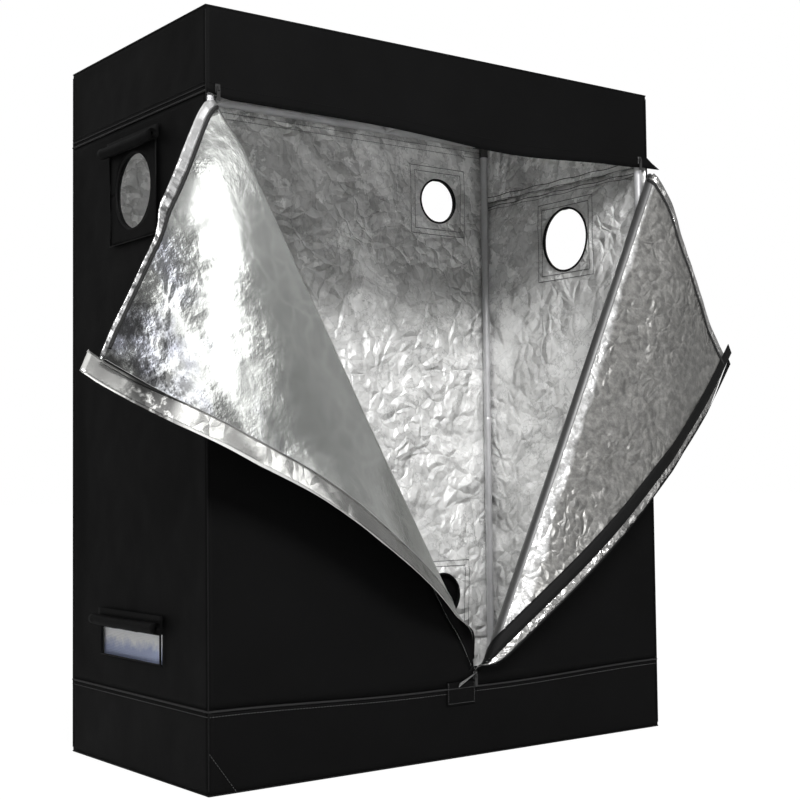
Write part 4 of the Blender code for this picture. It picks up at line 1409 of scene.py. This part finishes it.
# %% Tray and tab
def tray():
    low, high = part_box("floor_tray")
    half_x, half_y, rise = high.x - 0.001, high.y - 0.001, high.z - low.z - 0.001
    mesh = bpy.data.meshes.new("tray_cloth")
    shape = bmesh.new()
    bmesh.ops.create_grid(shape, x_segments=48, y_segments=24, size=1.0)
    for vertex in shape.verts:
        u, v = vertex.co.x * half_x, vertex.co.y * half_y
        lift = 0.002 * max(creased(u, v, 61.0, 0.2), 0.0) * held(u, -half_x, half_x, 0.1)
        vertex.co = (u, v, low.z + 0.0012 + lift * held(v, -half_y, half_y, 0.1))
    rim = [edge for edge in shape.edges if edge.is_boundary]
    for _ in range(4):
        raised = bmesh.ops.extrude_edge_only(shape, edges=rim)["geom"]
        rim = [item for item in raised if isinstance(item, bmesh.types.BMEdge)]
        for vertex in {v for edge in rim for v in edge.verts}:
            vertex.co.z += rise / 4
    # Extruding orders its results differently in each run, so all of them are sorted by where they lie.
    scan = Vector((1.0, 2.7, 7.3))
    shape.verts.sort(key=lambda vertex: vertex.co.dot(scan))
    shape.edges.sort(key=lambda edge: (edge.verts[0].co + edge.verts[1].co).dot(scan))
    shape.faces.sort(key=lambda face: face.calc_center_median().dot(scan))
    bmesh.ops.recalc_face_normals(shape, faces=shape.faces)
    layer = shape.loops.layers.uv.new("UVMap")
    for face in shape.faces:
        for loop in face.loops:
            place = loop.vert.co
            right, back = 1 if place.x > 0 else -1, 1 if place.y > 0 else -1
            loop[layer].uv = (place.x + place.z * right, place.y + place.z * back)
    shape.to_mesh(mesh)
    shape.free()
    mesh.materials.append(TRAY)
    mesh.shade_smooth()
    piece = add("tray_cloth", mesh)
    solid = piece.modifiers.new("two_sides", "SOLIDIFY")
    solid.thickness = 0.0012
    solid.offset = 0.0
    belongs(piece, "tray_sheet", "floor_tray")


def zip_tab():
    low_x, high_x, low_z, high_z = -0.032, 0.0453, 0.11, 0.158

    def shape(u, v):
        return Vector((u, -HALF_Y - 0.0018 + 0.0004 * creased(u, v, 71.0, 0.03), v))

    def turned_over(u, v):
        """A pointed strip of the lining that shows where the skirt's edge is turned over beside the tab."""
        up = 0.155 + 0.02 * u + (0.007 * (1 - u) + 0.001) * (v - 1)
        return Vector((0.05 * u - 0.001, -HALF_Y - 0.0032 - 0.003 * v * (1 - u), up))

    grid = square_grid(low_x, high_x, low_z, high_z, 0.005)
    piece = cloth("zip_tab", grid, shape, OXFORD, OXFORD, 0.001)
    belongs(piece, "black_oxford")
    grid = square_grid(0.0, 1.0, 0.0, 1.0, 0.1)
    turned = cloth("skirt_turned_edge", grid, turned_over, BRIGHT_STRIP, BRIGHT_STRIP, 0.0008)
    belongs(turned, "foil_lining")
    left, right, foot, head = low_x + 0.004, high_x - 0.004, low_z + 0.004, high_z - 0.003
    sides = [(left, head), (left, foot), (right, foot), (right, head)]
    row = [(x, -HALF_Y - 0.0022, z) for x, z in sides]
    sewn = stitches("zip_tab_stitches", row, "tent", None, 0.005, 0.0035, 0.0004)


tray()
zip_tab()
print("tray and tab made")

# %% [markdown]
# ## Floor, light and background
#
# The photograph stands on pure white. The floor and the world show white to the camera. In
# reflections the world is bright behind the tent and dimmer in front, which gives the foil its
# greys. A tall slanting strip makes the bright band down the left half, a wide lamp above the
# camera lights the inside, a weak one hangs over the top, and one behind serves the views from there.


# %% Floor and world
def white_floor():
    """White to the camera, apart from a trace of the tent's shadow near it."""
    bpy.ops.mesh.primitive_plane_add(size=60.0, location=(0.0, 0.0, -0.001))
    ground = bpy.context.object
    ground.name = "studio_floor"
    finish = Finish("studio_floor_white", Base_Color=grey(0.85), Roughness=0.8)
    seen = finish.node("ShaderNodeLightPath", {}, {}, "Is Camera Ray")
    glow = finish.node("ShaderNodeEmission", {}, {"Color": grey(1.0), "Strength": 1.05})
    lit = Value(finish, finish.shader.outputs[0])
    across, deep, _ = finish.parts(finish.body_place())
    away = ((across * across + deep * deep) ** 0.5 * 0.6 - 1.2).clear()
    surface = finish.node("ShaderNodeMixShader", {}, {0: seen * (away * 0.1 + 0.9), 1: lit, 2: glow})
    finish.put(finish.tree.nodes["Material Output"].inputs["Surface"], surface)
    ground.data.materials.append(finish.material)
    ground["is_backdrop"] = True


def studio_world():
    """White where the camera or a pane sees it. In reflections the room is white behind the tent and
    dimmer on the photographer's side."""
    world = bpy.data.worlds.new("studio")
    world.use_nodes = True
    graph = Graph(world.node_tree)
    graph.tree.nodes.clear()
    ray = graph.tree.nodes.new("ShaderNodeLightPath")
    kinds = ("Camera", "Glossy", "Transmission")
    camera_ray, glossy, through = (Value(graph, ray.outputs[f"Is {kind} Ray"]) for kind in kinds)
    toward = graph.node("ShaderNodeTexCoord", {}, {}, "Generated")
    _, behind, up = graph.parts(toward)
    room = (behind * 0.71 + 0.57).clear() ** 1.6 * 0.66 + 0.08 + (up * 0.4 - 0.1).clear() * 0.3
    plain = 0.13
    level = camera_ray.sum("MAXIMUM", camera_ray, through)
    level = level + (1.0 - level) * (glossy * room + (1.0 - glossy) * plain)
    back = graph.node("ShaderNodeBackground", {}, {"Color": grey(1.0), "Strength": level})
    output = graph.tree.nodes.new("ShaderNodeOutputWorld")
    graph.put(output.inputs["Surface"], back)
    bpy.context.scene.world = world


white_floor()
studio_world()
bpy.context.scene.view_settings.view_transform = "Standard"
print("background set")


# %% Lamps
STRIP_TURN = -42.0


def lamp(name, place, aim, size, power, turned=0.0):
    """A soft rectangle of light that faces a point, turned in its own plane by some degrees."""
    light = bpy.data.lights.new(name, "AREA")
    light.shape = "RECTANGLE"
    light.size, light.size_y = size
    light.energy = power
    hung = add(name, light)
    hung.location = place
    facing = (Vector(aim) - Vector(place)).to_track_quat("-Z", "Y").to_matrix()
    hung.rotation_euler = (facing @ Matrix.Rotation(math.radians(turned), 3, "Z")).to_euler()


lamp("strip_light", (2.29, -2.76, 2.07), (-0.62, -0.4, 0.9), (0.72, 2.8), 16.0, STRIP_TURN)
lamp("fill_light", (-1.5, -3.6, 3.1), (0.2, 0.1, 0.6), (2.2, 1.0), 250.0)
lamp("top_light", (-0.5, -1.5, 4.0), (0.0, 0.0, 0.7), (3.0, 3.0), 8.0)
lamp("back_light", (1.2, 3.8, 2.6), (0.1, 0.3, 0.7), (2.4, 1.4), 110.0)

# %% [markdown]
# ## Sizes
#
# The dressed tent is meant to keep the imported one's size, so both boxes are printed.

# %% Sizes and the end
low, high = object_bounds()
print("visual", rounded(high - low), "packed", rounded(cad_high - cad_low))
